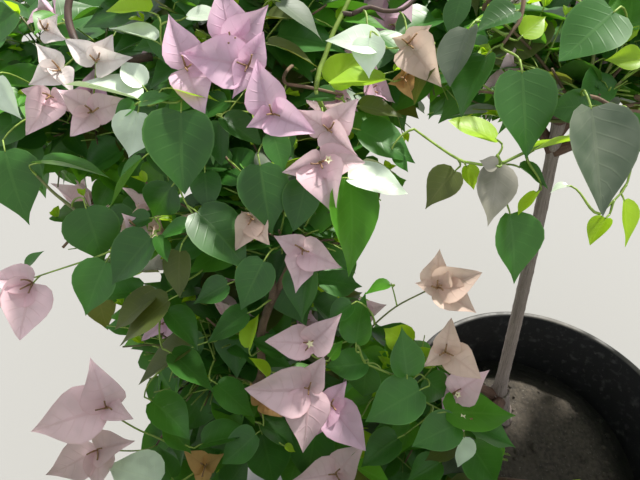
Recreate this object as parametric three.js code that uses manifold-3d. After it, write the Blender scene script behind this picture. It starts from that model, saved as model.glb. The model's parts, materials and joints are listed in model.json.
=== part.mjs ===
// A bougainvillea bush in a round plastic tub: the tub, its soil, a short woody stump, the canes and boughs
// that rise from it, and the masses of leaves and papery bracts that they carry.
// Units are millimetres, +Z is up, and the origin is the centre of the tub's flat underside.

import * as THREE from "three";
import { mergeVertices } from "three/addons/utils/BufferGeometryUtils.js";
import Module from "manifold-3d";

const wasm = await Module();
wasm.setup();

const SEAT_GAP = 0.3; // between any two pieces that meet
const STEM_GAP = 0.34; // between a bough's tip and the stem of its mass of leaves
const MERGE_WITHIN = 1e-3; // corners closer than this are one

// Tub
const TUB_HEIGHT = 400;
const TUB_BASE_RADIUS = 205;
const TUB_TOP_RADIUS = 269; // outside, just under the rolled rim
const TUB_WALL = 5;
const TUB_FLOOR = 7;
const TUB_EDGE = 4; // how far edges of the tub are rounded off
const RIM_RADIUS = 280;
const RIM_DEPTH = 24;
const ROUND_SIDES = 32;

// Soil: a low flat crest that the stump stands on, falling to the wall all round
const SOIL_CREST = 290;
const SOIL_CREST_RADIUS = 168;
const SOIL_EDGE = 238;
const SOIL_STEPS = 4; // straight stretches of the slope

// Leaves and bracts, one flat eight-faced blade each
const LEAF = { length: 122, width: 88, thick: 2.4 };
const BRACT = { length: 62, width: 46, thick: 1.8 };
const BLADE_SHOULDER = 0.4; // where along a blade it is widest
const BLADE_SPREAD = [0.8, 1.12]; // smallest and largest blade, as a share of the full size
const BLADE_SPACING = 48; // least distance between the middles of two leaves
const ROOT_SINK = 0.2; // how far a blade starts behind its twig's centre line

// How a leaf is set on its twig: shares of the twig's own way, of a level way that turns from leaf to leaf,
// of the way out of the crown, and of straight down. Its face looks up and partly outwards, and sways.
const LEAF_SET = { forward: 0.5, sideways: 1, endSideways: 0.3, outward: 0.4, droop: 0.35 };
const LEAF_FACE = { outward: 0.6, sway: 0.3 };
const BRACT_SET = { forward: 0.8, sideways: 0.75 };
const BRACTS = 3;

// Twigs inside a mass of leaves
const MASS_STEM_RADII = [6.4, 5.8];
const SHOOT_RADII = [2.9, 2.4];
const SHOOTS_PER_REACH = 1 / 21; // shoots in a mass for each millimetre of its reach
const SHOOT_FEET = [0.35, 1]; // where shoots start along the stem
const SHOOT_REACH = [0.5, 0.98]; // how far out shoots end, as a share of the reach
const SHOOT_ARCH = [[-0.125, 0.125], [-0.125, 0.125], [0.075, 0.2]]; // its bend's range along X, Y and Z
const SHOOT_SAMPLES = 6; // stretches of a shoot that are tested for room
const NODE_SPACING = 38; // between leaves along a shoot
const LEAST_NODES = 2;
const NODE_RANGE = [0.26, 0.97]; // the share of a shoot that bears leaves
const FURTHEST_TIP = 1.25; // how far a leaf may reach, as a share of the reach
const BLOSSOM_EVERY = 4; // each fourth shoot ends in a cluster of bracts
const LIMB_STOP = 0.6; // a bough ends this share of the reach away from its mass's centre
const GOLDEN_ANGLE = Math.PI * (3 - Math.sqrt(5));
const TURN_SWAY = [-0.3, 0.3]; // how far one leaf's turn differs from the golden angle
const GROWTH_SEED = 4; // another number grows another bush on the same boughs
const SEEDS_PER_STEP = 100; // more than there are masses, or shoots in one

// Room that leaves and twigs leave round other pieces
const CELL_MARGIN = 3; // to the plane between two masses
const LIMB_MARGIN = 2;
const RIM_MARGIN = 26;
const LOWEST_LEAF = 395;

// The stump stands behind and a little left of the tub's middle.
const STUMP = { foot: [-44, 89, SOIL_CREST + SEAT_GAP], tip: [-55, 97, 375], arch: [5.5, -4, 0] };

// Each limb starts on the centre line of the one it comes from, at a share of its length. It ends at a tip,
// or near the centre of the mass of leaves that it carries. The arch moves its middle off the straight line.
const LIMBS = [
  { name: "trunk", ...STUMP, radii: [38, 20], flare: 2.4, sides: 12 },
  {
    name: "leader", from: "trunk", at: 1, tip: [-137, 155, 1002], arch: [8, 6, 0], radii: [12.2, 7.6],
    sides: 8,
  },
  {
    name: "bough_near", from: "leader", at: 1, arch: [0, 20, 10], radii: [6, 4.8],
    mass: { name: "foliage_near", centre: [-199, 9, 1112], reach: 150 },
  },
  {
    name: "bough_right", from: "leader", at: 0.93, arch: [0, 0, 130], radii: [6.6, 5],
    mass: { name: "foliage_right", centre: [350, 40, 990], reach: 195 },
  },
  {
    name: "bough_top", from: "leader", at: 0.97, arch: [0, 10, 15], radii: [6, 4.8],
    mass: { name: "foliage_top", centre: [60, 225, 1200], reach: 172 },
  },
  {
    name: "bough_back_right", from: "bough_right", at: 0.25, arch: [0, 0, 60], radii: [5.8, 4.8],
    mass: { name: "foliage_back_right", centre: [265, 365, 1015], reach: 185 },
  },
  {
    name: "bough_low_right", from: "bough_right", at: 0.75, arch: [40, 20, 70], radii: [5.6, 4.8],
    mass: { name: "foliage_low_right", centre: [385, 285, 760], reach: 160 },
  },
  {
    name: "cane_left", from: "trunk", at: 0.72, tip: [-522, 44, 700], arch: [0, 0, 60], radii: [12, 7.6],
    sides: 7,
  },
  {
    name: "riser_left", from: "cane_left", at: 1, arch: [-6, 6, 0], radii: [7, 5.4],
    mass: { name: "foliage_centre", centre: [-460, 6, 962], reach: 165 },
  },
  {
    name: "bough_lower_left", from: "cane_left", at: 0.93, arch: [0, -25, -10], radii: [5.8, 4.8],
    mass: { name: "foliage_lower_left", centre: [-576, -72, 771], reach: 165 },
  },
  {
    name: "cane_back_left", from: "cane_left", at: 0.78, arch: [20, -10, 20], radii: [8.4, 5.6], sides: 7,
    mass: { name: "foliage_top_centre", centre: [-516, 210, 1052], reach: 170 },
  },
  {
    name: "bough_upper_left", from: "cane_back_left", at: 0.74, arch: [0, 20, 60], radii: [6, 4.8],
    mass: { name: "foliage_upper_left", centre: [-813, 295, 926], reach: 175 },
  },
  {
    name: "bough_left", from: "cane_back_left", at: 0.4, arch: [0, 0, 50], radii: [5.8, 4.8],
    mass: { name: "foliage_left", centre: [-859, 113, 830], reach: 152 },
  },
  {
    name: "cane_back", from: "leader", at: 0.93, arch: [0, 20, 50], radii: [6.8, 5],
    mass: { name: "foliage_back_left", centre: [-316, 347, 1040], reach: 165 },
  },
  {
    name: "bough_back", from: "leader", at: 0.95, arch: [0, 10, 30], radii: [6.4, 5],
    mass: { name: "foliage_back", centre: [-30, 470, 985], reach: 185 },
  },
  {
    name: "bough_low_back", from: "bough_back", at: 0.6, arch: [0, 20, 20], radii: [5.6, 4.8],
    mass: { name: "foliage_low_back", centre: [-70, 590, 805], reach: 135 },
  },
  {
    name: "cane_front", from: "trunk", at: 0.66, tip: [-190, -125, 545], arch: [0, 0, 40], radii: [12, 8.6],
    sides: 7,
  },
  {
    name: "bough_low", from: "cane_front", at: 0.8, arch: [0, 0, 0], radii: [5.6, 4.8],
    mass: { name: "foliage_low", centre: [-273, -67, 667], reach: 130 },
  },
  {
    name: "bough_front_right", from: "cane_front", at: 1, arch: [0, -20, 90], radii: [7, 5],
    mass: { name: "foliage_front_right", centre: [200, -285, 870], reach: 175 },
  },
  {
    name: "bough_front", from: "cane_front", at: 0.95, arch: [0, -10, 40], radii: [6.4, 5],
    mass: { name: "foliage_front", centre: [-150, -400, 775], reach: 165 },
  },
  {
    name: "bough_front_left", from: "cane_front", at: 1, arch: [-20, 0, 80], radii: [7, 5],
    mass: { name: "foliage_front_left", centre: [-500, -350, 825], reach: 172 },
  },
  {
    name: "bough_side_left", from: "bough_front_left", at: 0.8, arch: [0, 30, 50], radii: [5.4, 4.8],
    mass: { name: "foliage_side_left", centre: [-800, -215, 800], reach: 160 },
  },
];
const LIMB_SIDES = 5;
const LIMB_STEP = 90; // length of one straight stretch of a limb
const LEAST_LIMB_STEPS = 4;
const LIMB_SAMPLES = 16; // stretches of a limb that distances are measured to
const TWIG_SIDES = 3;
const TWIG_STEPS = 2;

const MATERIALS = {
  tub: new THREE.MeshStandardMaterial({ color: 0x0b0c0d, roughness: 0.55, metalness: 0 }),
  soil: new THREE.MeshStandardMaterial({ color: 0x4a4038, roughness: 0.95, metalness: 0 }),
  bark: new THREE.MeshStandardMaterial({ color: 0x6e645a, roughness: 0.85, metalness: 0 }),
  foliage: new THREE.MeshStandardMaterial({ color: 0x3f7a2e, roughness: 0.5, metalness: 0 }),
};

const UP = new THREE.Vector3(0, 0, 1);
const point = (xyz) => new THREE.Vector3(...xyz);
const mix = (range, share) => THREE.MathUtils.lerp(range[0], range[1], share);

// A repeatable run of numbers from 0 to 1.
function seeded(seed) {
  let state = seed | 0;
  return () => {
    state = (state + 0x6d2b79f5) | 0;
    let mixed = Math.imul(state ^ (state >>> 15), 1 | state);
    mixed = (mixed + Math.imul(mixed ^ (mixed >>> 7), 61 | mixed)) ^ mixed;
    return ((mixed ^ (mixed >>> 14)) >>> 0) / 4294967296;
  };
}

function solidFrom(geometry) {
  const bare = new THREE.BufferGeometry().setAttribute("position", geometry.getAttribute("position"));
  bare.setIndex(geometry.index);
  const merged = mergeVertices(bare, MERGE_WITHIN);
  const triVerts = new Uint32Array(merged.index.array);
  return new wasm.Manifold(
    new wasm.Mesh({ numProp: 3, vertProperties: merged.getAttribute("position").array, triVerts }),
  );
}

// The largest closed body of a solid, without any hollow sealed inside it.
function mainBody(solid) {
  const bodies = solid.decompose();
  return bodies.reduce((best, body) => (body.volume() > best.volume() ? body : best));
}

function meshOf(name, solid, material) {
  const { vertProperties, triVerts } = solid.getMesh();
  const geometry = new THREE.BufferGeometry();
  geometry.setAttribute("position", new THREE.BufferAttribute(vertProperties, 3));
  geometry.setIndex(new THREE.BufferAttribute(triVerts, 1));
  const flat = geometry.toNonIndexed();
  flat.computeVertexNormals();
  const mesh = new THREE.Mesh(flat, material);
  mesh.name = name;
  return mesh;
}

// The same curve, carried on a little past both of its ends.
class LongerCurve extends THREE.Curve {
  constructor(curve, spare) {
    super();
    this.curve = curve;
    this.share = spare / curve.getLength();
  }

  getPoint(t, target) {
    return this.curve.getPoint(t * (1 + 2 * this.share) - this.share, target);
  }
}

// A limb or twig: a regular section swept along a curve, its radius given at each share of the length.
function taperedTube(curve, sides, steps, radiusAt) {
  const corners = Array.from({ length: sides }, (_, i) => {
    const turn = (2 * Math.PI * i) / sides;
    return new THREE.Vector2(Math.cos(turn), Math.sin(turn));
  });
  const options = { steps, extrudePath: curve, bevelEnabled: false };
  const geometry = new THREE.ExtrudeGeometry(new THREE.Shape(corners), options);
  const centres = curve.getSpacedPoints(steps);
  const place = geometry.getAttribute("position");
  const corner = new THREE.Vector3();
  for (let i = 0; i < place.count; i++) {
    corner.fromBufferAttribute(place, i);
    let nearest = 0;
    centres.forEach((centre, k) => {
      if (corner.distanceTo(centre) < corner.distanceTo(centres[nearest])) nearest = k;
    });
    const radius = radiusAt(nearest / steps);
    corner.sub(centres[nearest]).multiplyScalar(radius).add(centres[nearest]);
    place.setXYZ(i, ...corner);
  }
  return solidFrom(geometry);
}

function bentCurve(foot, tip, arch) {
  const control = foot.clone().lerp(tip, 0.5).add(arch);
  return new THREE.QuadraticBezierCurve3(foot, control, tip);
}

// Places along a shoot, without the two next to the stem that it grows from.
function pointsBeyondStem(shoot) {
  return shoot.getPoints(SHOOT_SAMPLES).slice(2);
}

// Tub and soil
function innerRadius(height) {
  return mix([TUB_BASE_RADIUS, TUB_TOP_RADIUS], height / (TUB_HEIGHT - RIM_DEPTH)) - TUB_WALL;
}

function turned(profile) {
  const points = profile.map(([radius, height]) => new THREE.Vector2(radius, height));
  return new THREE.LatheGeometry(points, ROUND_SIDES).rotateX(Math.PI / 2);
}

function tubSolid() {
  const underRim = TUB_HEIGHT - RIM_DEPTH;
  return solidFrom(
    turned([
      [0, 0],
      [TUB_BASE_RADIUS - TUB_EDGE, 0],
      [TUB_BASE_RADIUS, TUB_EDGE],
      [TUB_TOP_RADIUS, underRim],
      [RIM_RADIUS - TUB_EDGE / 2, underRim],
      [RIM_RADIUS, underRim + TUB_EDGE],
      [RIM_RADIUS, TUB_HEIGHT - TUB_EDGE],
      [RIM_RADIUS - TUB_EDGE, TUB_HEIGHT],
      [innerRadius(TUB_HEIGHT) + TUB_EDGE / 2, TUB_HEIGHT],
      [innerRadius(TUB_HEIGHT), TUB_HEIGHT - TUB_EDGE],
      [innerRadius(TUB_FLOOR), TUB_FLOOR],
      [0, TUB_FLOOR],
    ]),
  );
}

function soilSolid() {
  const bottom = TUB_FLOOR + SEAT_GAP;
  const edgeRadius = innerRadius(SOIL_EDGE) - SEAT_GAP;
  const slope = Array.from({ length: SOIL_STEPS - 1 }, (_, k) => {
    const share = (k + 1) / SOIL_STEPS;
    const height = mix([SOIL_EDGE, SOIL_CREST], Math.sin((share * Math.PI) / 2));
    return [mix([edgeRadius, SOIL_CREST_RADIUS], share), height];
  });
  return solidFrom(
    turned([
      [0, bottom],
      [innerRadius(bottom) - SEAT_GAP, bottom],
      [edgeRadius, SOIL_EDGE],
      ...slope,
      [SOIL_CREST_RADIUS, SOIL_CREST],
      [0, SOIL_CREST],
    ]),
  );
}

// Limbs
class Limb {
  constructor(row, parent) {
    this.name = row.name;
    this.mass = row.mass;
    this.foot = row.foot ? point(row.foot) : parent.curve.getPointAt(row.at);
    const centre = row.mass && point(row.mass.centre);
    const stop = centre && this.foot.clone().sub(centre).setLength(LIMB_STOP * row.mass.reach);
    this.tip = row.tip ? point(row.tip) : centre.clone().add(stop);
    this.curve = bentCurve(this.foot, this.tip, point(row.arch));
    this.sides = row.sides ?? LIMB_SIDES;
    this.steps = Math.max(LEAST_LIMB_STEPS, Math.round(this.curve.getLength() / LIMB_STEP));
    const [thick, thin] = row.radii;
    this.radiusAt = (share) => thin + (thick - thin) * (1 - share) ** (row.flare ?? 1);
    this.line = this.curve.getSpacedPoints(LIMB_SAMPLES);
  }

  solid(grow = 0) {
    const curve = grow ? new LongerCurve(this.curve, grow) : this.curve;
    return taperedTube(curve, this.sides, this.steps, (share) => this.radiusAt(share) + grow);
  }

  // How far a place is from the limb's surface.
  distanceTo(place) {
    let least = Infinity;
    const stretch = new THREE.Line3();
    const nearest = new THREE.Vector3();
    for (let i = 0; i + 1 < this.line.length; i++) {
      stretch.set(this.line[i], this.line[i + 1]).closestPointToPoint(place, true, nearest);
      least = Math.min(least, nearest.distanceTo(place) - this.radiusAt(i / (this.line.length - 1)));
    }
    return least;
  }
}

function growLimbs() {
  const limbs = [];
  for (const row of LIMBS) {
    const parent = limbs.find((limb) => limb.name === row.from);
    limbs.push(new Limb(row, parent));
  }
  return limbs;
}

// A solid's main body, cut clear of those of the others that it touches.
function clearOf(others, solid) {
  const touched = others.filter((other) => !solid.intersect(other).isEmpty());
  return mainBody(touched.reduce((rest, other) => rest.subtract(other), solid));
}

// The space of one mass: nearer to its centre than to any other mass's, clear of the limbs and of the tub.
class Space {
  constructor(mass, others, limbs) {
    this.centre = point(mass.centre);
    this.reach = mass.reach;
    this.limbs = limbs;
    this.walls = others.map((other) => {
      const across = point(other.centre).sub(this.centre);
      const apart = across.length();
      const offset = (apart ** 2 + this.reach ** 2 - other.reach ** 2) / (2 * apart);
      return { way: across.normalize(), offset: offset - CELL_MARGIN };
    });
  }

  holds(place) {
    const from = place.clone().sub(this.centre);
    const overTub = Math.hypot(place.x, place.y) < RIM_RADIUS + RIM_MARGIN;
    if (place.z < (overTub ? TUB_HEIGHT + RIM_MARGIN : LOWEST_LEAF)) return false;
    if (from.length() > this.reach * FURTHEST_TIP) return false;
    return this.walls.every((wall) => from.dot(wall.way) < wall.offset);
  }

  allows(places, spare) {
    const clear = (place) => this.limbs.every((limb) => limb.distanceTo(place) > spare + LIMB_MARGIN);
    return places.every((place) => this.holds(place) && clear(place));
  }

  // The furthest place on the line from the centre to a target that the walls leave free.
  pullIn(target) {
    const from = target.clone().sub(this.centre);
    let share = 1;
    for (const wall of this.walls) {
      const along = from.dot(wall.way);
      if (along * share > wall.offset - CELL_MARGIN) share = (wall.offset - CELL_MARGIN) / along;
    }
    return this.centre.clone().addScaledVector(from, share);
  }
}

// A flat blade with eight faces, rooted at one end: `along` is its midrib and `facing` its upper side.
class Blade {
  constructor(root, along, facing, size, scale) {
    this.length = size.length * scale;
    this.width = size.width * scale;
    this.thick = size.thick;
    this.along = along.clone().normalize();
    this.across = new THREE.Vector3().crossVectors(facing, this.along).normalize();
    this.facing = new THREE.Vector3().crossVectors(this.along, this.across);
    this.root = root.clone().addScaledVector(this.along, -ROOT_SINK);
  }

  at(share, side) {
    return this.root
      .clone()
      .addScaledVector(this.along, share * this.length)
      .addScaledVector(this.across, (side * this.width) / 2);
  }

  // Its tip and shoulders, and places half way to them.
  outline() {
    const behind = BLADE_SHOULDER / 2;
    const ahead = (BLADE_SHOULDER + 1) / 2;
    const onRib = [BLADE_SHOULDER, ahead, 1].map((share) => this.at(share, 0));
    const onSide = (side) => [
      this.at(BLADE_SHOULDER, side),
      this.at(behind, side / 2),
      this.at(ahead, side / 2),
    ];
    return [...onRib, ...onSide(-1), ...onSide(1)];
  }

  solid() {
    const geometry = new THREE.OctahedronGeometry(1);
    const place = geometry.getAttribute("position");
    for (let i = 0; i < place.count; i++) {
      const onRib = Math.abs(place.getX(i)) > 0.5;
      const share = onRib ? (place.getX(i) > 0 ? 1 : 0) : BLADE_SHOULDER;
      const lift = (place.getZ(i) * this.thick) / 2;
      place.setXYZ(i, ...this.at(share, place.getY(i)).addScaledVector(this.facing, lift));
    }
    return solidFrom(geometry);
  }
}

// One mass of leaves: a stem from its bough's tip, shoots spread evenly about the centre, leaves in a spiral
// up each shoot, and a cluster of three bracts at the end of every fourth one.
class Mass {
  constructor(limb, order, others, limbs) {
    this.name = limb.mass.name;
    this.limb = limb;
    this.order = order;
    this.space = new Space(limb.mass, others, limbs);
    this.solids = [];
    this.middles = [];
  }

  growStem() {
    const out = this.limb.curve.getTangentAt(1);
    const foot = this.limb.tip.clone().addScaledVector(out, STEM_GAP);
    const bend = foot.clone().addScaledVector(out, foot.distanceTo(this.space.centre) / 2);
    this.stem = new THREE.QuadraticBezierCurve3(foot, bend, this.space.centre);
    this.addTwig(this.stem, MASS_STEM_RADII);
  }

  addTwig(curve, radii) {
    this.solids.push(taperedTube(curve, TWIG_SIDES, TWIG_STEPS, (share) => mix(radii, share)));
  }

  // Adds blades that are set together, if there is room for them all.
  addBlades(blades) {
    const middles = blades.map((blade) => blade.at(0.5, 0));
    const near = (middle) => this.middles.some((other) => other.distanceTo(middle) < BLADE_SPACING);
    if (middles.some(near)) return;
    if (!blades.every((blade) => this.space.allows(blade.outline(), blade.thick / 2))) return;
    this.middles.push(...middles);
    this.solids.push(...blades.map((blade) => blade.solid()));
  }

  growShoot(index, count) {
    const draw = seeded((GROWTH_SEED * SEEDS_PER_STEP + this.order) * SEEDS_PER_STEP + index);
    const height = 1 - (2 * index + 1) / count;
    const turn = index * GOLDEN_ANGLE + this.order;
    const ring = Math.sqrt(1 - height ** 2);
    const way = new THREE.Vector3(ring * Math.cos(turn), ring * Math.sin(turn), height);
    const reach = this.space.reach * mix(SHOOT_REACH, draw());
    const tip = this.space.pullIn(this.space.centre.clone().addScaledVector(way, reach));
    const foot = this.stem.getPointAt(mix(SHOOT_FEET, draw()));
    const arch = point(SHOOT_ARCH.map((range) => mix(range, draw())));
    const shoot = bentCurve(foot, tip, arch.multiplyScalar(foot.distanceTo(tip)));
    if (!this.space.allows(pointsBeyondStem(shoot), SHOOT_RADII[0])) return;
    this.addTwig(shoot, SHOOT_RADII);
    this.dressShoot(shoot, draw, index % BLOSSOM_EVERY === 0);
  }

  dressShoot(shoot, draw, blossoms) {
    const leafy = shoot.getLength() * (NODE_RANGE[1] - NODE_RANGE[0]);
    const nodes = Math.max(LEAST_NODES, Math.round(leafy / NODE_SPACING));
    let turn = draw() * 2 * Math.PI;
    for (let k = 0; k <= nodes; k++) {
      const share = mix(NODE_RANGE, k / nodes);
      const root = shoot.getPointAt(share);
      const along = shoot.getTangentAt(share);
      const scale = mix(BLADE_SPREAD, draw());
      turn += GOLDEN_ANGLE + mix(TURN_SWAY, draw());
      if (k === nodes && blossoms) this.addBlossom(root, along, turn);
      else this.addLeaf(root, along, turn, scale, k === nodes ? LEAF_SET.endSideways : LEAF_SET.sideways);
    }
  }

  // A leaf leans out from its twig, hangs a little, and turns its face up and away from the crown's inside.
  addLeaf(root, along, turn, scale, sideways) {
    const outward = root.clone().sub(this.space.centre).normalize();
    const side = new THREE.Vector3(Math.cos(turn), Math.sin(turn), 0);
    const way = along.clone().multiplyScalar(LEAF_SET.forward).addScaledVector(side, sideways);
    way.addScaledVector(outward, LEAF_SET.outward).addScaledVector(UP, -LEAF_SET.droop);
    const sway = new THREE.Vector3(Math.cos(3 * turn), Math.sin(3 * turn), 0).multiplyScalar(LEAF_FACE.sway);
    const facing = sway.add(UP).addScaledVector(outward, LEAF_FACE.outward);
    this.addBlades([new Blade(root, way, facing, LEAF, scale)]);
  }

  addBlossom(root, along, turn) {
    const across = UP.clone().cross(along).normalize();
    const bracts = Array.from({ length: BRACTS }, (_, k) => {
      const side = across.clone().applyAxisAngle(along, turn + (k * 2 * Math.PI) / BRACTS);
      const way = along.clone().multiplyScalar(BRACT_SET.forward).addScaledVector(side, BRACT_SET.sideways);
      return new Blade(root, way, side, BRACT, 1);
    });
    this.addBlades(bracts);
  }

  grow(grownLimbs) {
    this.growStem();
    const count = Math.round(this.space.reach * SHOOTS_PER_REACH);
    for (let index = 0; index < count; index++) this.growShoot(index, count);
    return clearOf(grownLimbs, this.solids.reduce((joined, solid) => joined.add(solid)));
  }
}

const limbs = growLimbs();
const grownLimbs = limbs.map((limb) => limb.solid(SEAT_GAP));
const carrying = limbs.filter((limb) => limb.mass);
const masses = carrying.map((limb, order) => {
  const others = carrying.filter((other) => other !== limb).map((other) => other.mass);
  return new Mass(limb, order + 1, others, limbs);
});

const group = new THREE.Group();
group.add(meshOf("tub", tubSolid(), MATERIALS.tub));
group.add(meshOf("soil", soilSolid(), MATERIALS.soil));
limbs.forEach((limb, i) => {
  const solid = clearOf(grownLimbs.slice(0, i), limb.solid());
  group.add(meshOf(limb.name, solid, MATERIALS.bark));
});
for (const mass of masses) group.add(meshOf(mass.name, mass.grow(grownLimbs), MATERIALS.foliage));

export default group;
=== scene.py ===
"""A potted bougainvillea: bark, twigs, leaves, papery bracts, tub and soil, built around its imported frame.

The limbs and the masses of leaves follow the same rows and the same growth rule as the part's solids. Each
mass is carried on here to finer twigs, and the sprigs that show closest in the photograph are set where it
shows them. Lengths are metres, unless a name says otherwise.
"""

import functools
import itertools
import json
import logging
import math
from collections.abc import Callable, Iterable, Sequence
from dataclasses import dataclass, field
from enum import Enum

import bpy
import numpy as np
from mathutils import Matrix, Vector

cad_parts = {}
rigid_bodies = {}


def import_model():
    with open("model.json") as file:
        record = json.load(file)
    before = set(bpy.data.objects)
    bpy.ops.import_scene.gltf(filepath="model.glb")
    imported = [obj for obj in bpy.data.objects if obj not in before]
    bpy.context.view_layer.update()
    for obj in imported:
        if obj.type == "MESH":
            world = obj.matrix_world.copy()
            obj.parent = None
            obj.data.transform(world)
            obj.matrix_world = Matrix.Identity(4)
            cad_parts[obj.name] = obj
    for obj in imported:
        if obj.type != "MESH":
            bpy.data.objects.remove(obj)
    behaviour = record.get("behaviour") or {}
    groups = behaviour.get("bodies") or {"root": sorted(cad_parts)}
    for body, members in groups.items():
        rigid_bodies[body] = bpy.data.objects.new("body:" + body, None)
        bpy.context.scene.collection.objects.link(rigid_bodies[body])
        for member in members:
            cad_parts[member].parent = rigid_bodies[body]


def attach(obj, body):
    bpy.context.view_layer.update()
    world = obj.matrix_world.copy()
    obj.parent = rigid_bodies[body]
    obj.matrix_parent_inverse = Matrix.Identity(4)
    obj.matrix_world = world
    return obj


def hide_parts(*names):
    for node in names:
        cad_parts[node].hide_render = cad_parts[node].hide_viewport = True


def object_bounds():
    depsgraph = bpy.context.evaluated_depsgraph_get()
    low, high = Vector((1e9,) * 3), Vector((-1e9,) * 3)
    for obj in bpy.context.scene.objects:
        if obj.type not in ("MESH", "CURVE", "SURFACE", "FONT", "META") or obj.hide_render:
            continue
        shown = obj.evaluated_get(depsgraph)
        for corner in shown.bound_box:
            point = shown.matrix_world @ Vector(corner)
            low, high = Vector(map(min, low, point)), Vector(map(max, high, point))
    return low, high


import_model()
CAD_BOX = [list(corner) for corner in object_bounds()]
LOG = logging.getLogger("bougainvillea")
REACH_SPARE = 0.008  # fine leaves go no further than this past the solids

MM = 0.001
UP = np.array([0.0, 0.0, 1.0])
FULL_TURN = 2 * math.pi
GOLDEN_ANGLE = math.pi * (3 - math.sqrt(5))
Draw = Callable[[], float]
Pixel = tuple[float, float]
Colour = tuple[float, float, float]
Socket = bpy.types.NodeSocket


def seeded(seed: int) -> Draw:
    """Make the same repeatable run of numbers that the part's source draws from.

    Args:
        seed: Any whole number.

    Returns:
        A function that gives the next number from 0 to 1.
    """
    word = 0xFFFFFFFF
    state = seed & word

    def draw() -> float:
        """Give the next number.

        Returns:
            A number from 0 to 1.
        """
        nonlocal state
        state = (state + 0x6D2B79F5) & word
        mixed = ((state ^ (state >> 15)) * (1 | state)) & word
        mixed = ((mixed + (((mixed ^ (mixed >> 7)) * (61 | mixed)) & word)) & word) ^ mixed
        return ((mixed ^ (mixed >> 14)) & word) / 4294967296

    return draw


def mix(span: Sequence[float], share: float) -> float:
    """Give the value at a share of the way from the first to the second number."""
    return span[0] + (span[1] - span[0]) * share


def unit(way: np.ndarray) -> np.ndarray:
    """Give the same way at length one."""
    return way / max(float(np.linalg.norm(way)), 1e-9)


def point(*xyz_mm: float) -> np.ndarray:
    """Give a place in metres from its millimetres."""
    return np.array(xyz_mm, float) * MM


class Route:
    """A line in space, followed by shares of its length."""

    def __init__(self, points: np.ndarray) -> None:
        """Measure the line.

        Args:
            points: Its places in order, one row each.
        """
        self.points = np.asarray(points, float)
        steps = np.linalg.norm(np.diff(self.points, axis=0), axis=1)
        self.marks = np.concatenate([[0.0], np.cumsum(steps)])
        self.length = float(self.marks[-1])

    def at(self, share: float | np.ndarray) -> np.ndarray:
        """Give the place, or places, at a share of the length."""
        gone = np.asarray(share) * self.length
        return np.stack([np.interp(gone, self.marks, self.points[:, k]) for k in range(3)], axis=-1)

    def way(self, share: float) -> np.ndarray:
        """Give the way that the line runs at a share of its length."""
        step = 0.01
        return unit(self.at(min(share + step, 1.0)) - self.at(max(share - step, 0.0)))


def bezier(foot: np.ndarray, control: np.ndarray, tip: np.ndarray) -> Route:
    """Draw a curve with one control point."""
    t = np.linspace(0, 1, 33)[:, None]
    return Route((1 - t) ** 2 * foot + 2 * t * (1 - t) * control + t**2 * tip)


def bent(foot: np.ndarray, tip: np.ndarray, arch: np.ndarray) -> Route:
    """Draw a curve whose middle control point lies off the straight line by the arch."""
    return bezier(foot, (foot + tip) / 2 + arch, tip)


def smooth(points: Sequence[np.ndarray]) -> Route:
    """Draw one smooth curve through a few places.

    Args:
        points: The places, in order.

    Returns:
        The curve.
    """
    knots = np.asarray(points, float)
    knots = np.vstack([2 * knots[0] - knots[1], knots, 2 * knots[-1] - knots[-2]])
    t = np.linspace(0, 1, 9)[:-1, None]
    stretches = []
    for a, b, c, d in zip(knots, knots[1:], knots[2:], knots[3:]):
        bend = (2 * a - 5 * b + 4 * c - d) * t**2
        turn = (3 * b - a - 3 * c + d) * t**3
        stretches.append(0.5 * (2 * b + (c - a) * t + bend + turn))
    return Route(np.vstack([*stretches, knots[-2:-1]]))


# Joined meshes


class Batch:
    """One mesh that many small shapes are joined into, from arrays."""

    def __init__(self, name: str) -> None:
        """Start an empty mesh under its piece's name.

        Args:
            name: What the finished piece is called.
        """
        self.name = name
        self.points: list[np.ndarray] = []
        self.corners: list[np.ndarray] = []
        self.sizes: list[np.ndarray] = []
        self.uvs: list[np.ndarray] = []
        self.tints: list[np.ndarray] = []
        self.count = 0

    def add(self, points: np.ndarray, net: "Net", tint: int) -> None:
        """Join one shape on.

        Args:
            points: Its places.
            net: Its faces and the UV of each place.
            tint: The number of its material.
        """
        self.points.append(points)
        self.corners.append(net.corners + self.count)
        self.sizes.append(net.sizes)
        self.uvs.append(net.uvs[net.corners])
        self.tints.append(np.full(len(net.sizes), tint, np.int32))
        self.count += len(points)

    def build(self, materials: Sequence[bpy.types.Material]) -> bpy.types.Object:
        """Make the Blender object.

        Args:
            materials: The materials that the tint numbers stand for.

        Returns:
            The object, at the origin.
        """
        corners = np.concatenate(self.corners).astype(np.int32)
        sizes = np.concatenate(self.sizes).astype(np.int32)
        mesh = bpy.data.meshes.new(self.name)
        mesh.vertices.add(self.count)
        mesh.vertices.foreach_set("co", np.concatenate(self.points).astype(np.float32).ravel())
        mesh.loops.add(len(corners))
        mesh.loops.foreach_set("vertex_index", corners)
        mesh.polygons.add(len(sizes))
        mesh.polygons.foreach_set("loop_start", np.concatenate([[0], np.cumsum(sizes)[:-1]]).astype(np.int32))
        mesh.polygons.foreach_set("material_index", np.concatenate(self.tints))
        mesh.polygons.foreach_set("use_smooth", np.ones(len(sizes), bool))
        layer = mesh.uv_layers.new(name="UVMap")
        layer.uv.foreach_set("vector", np.concatenate(self.uvs).astype(np.float32).ravel())
        for material in materials:
            mesh.materials.append(material)
        mesh.update(calc_edges=True)
        piece = bpy.data.objects.new(self.name, mesh)
        bpy.context.scene.collection.objects.link(piece)
        return piece


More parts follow.
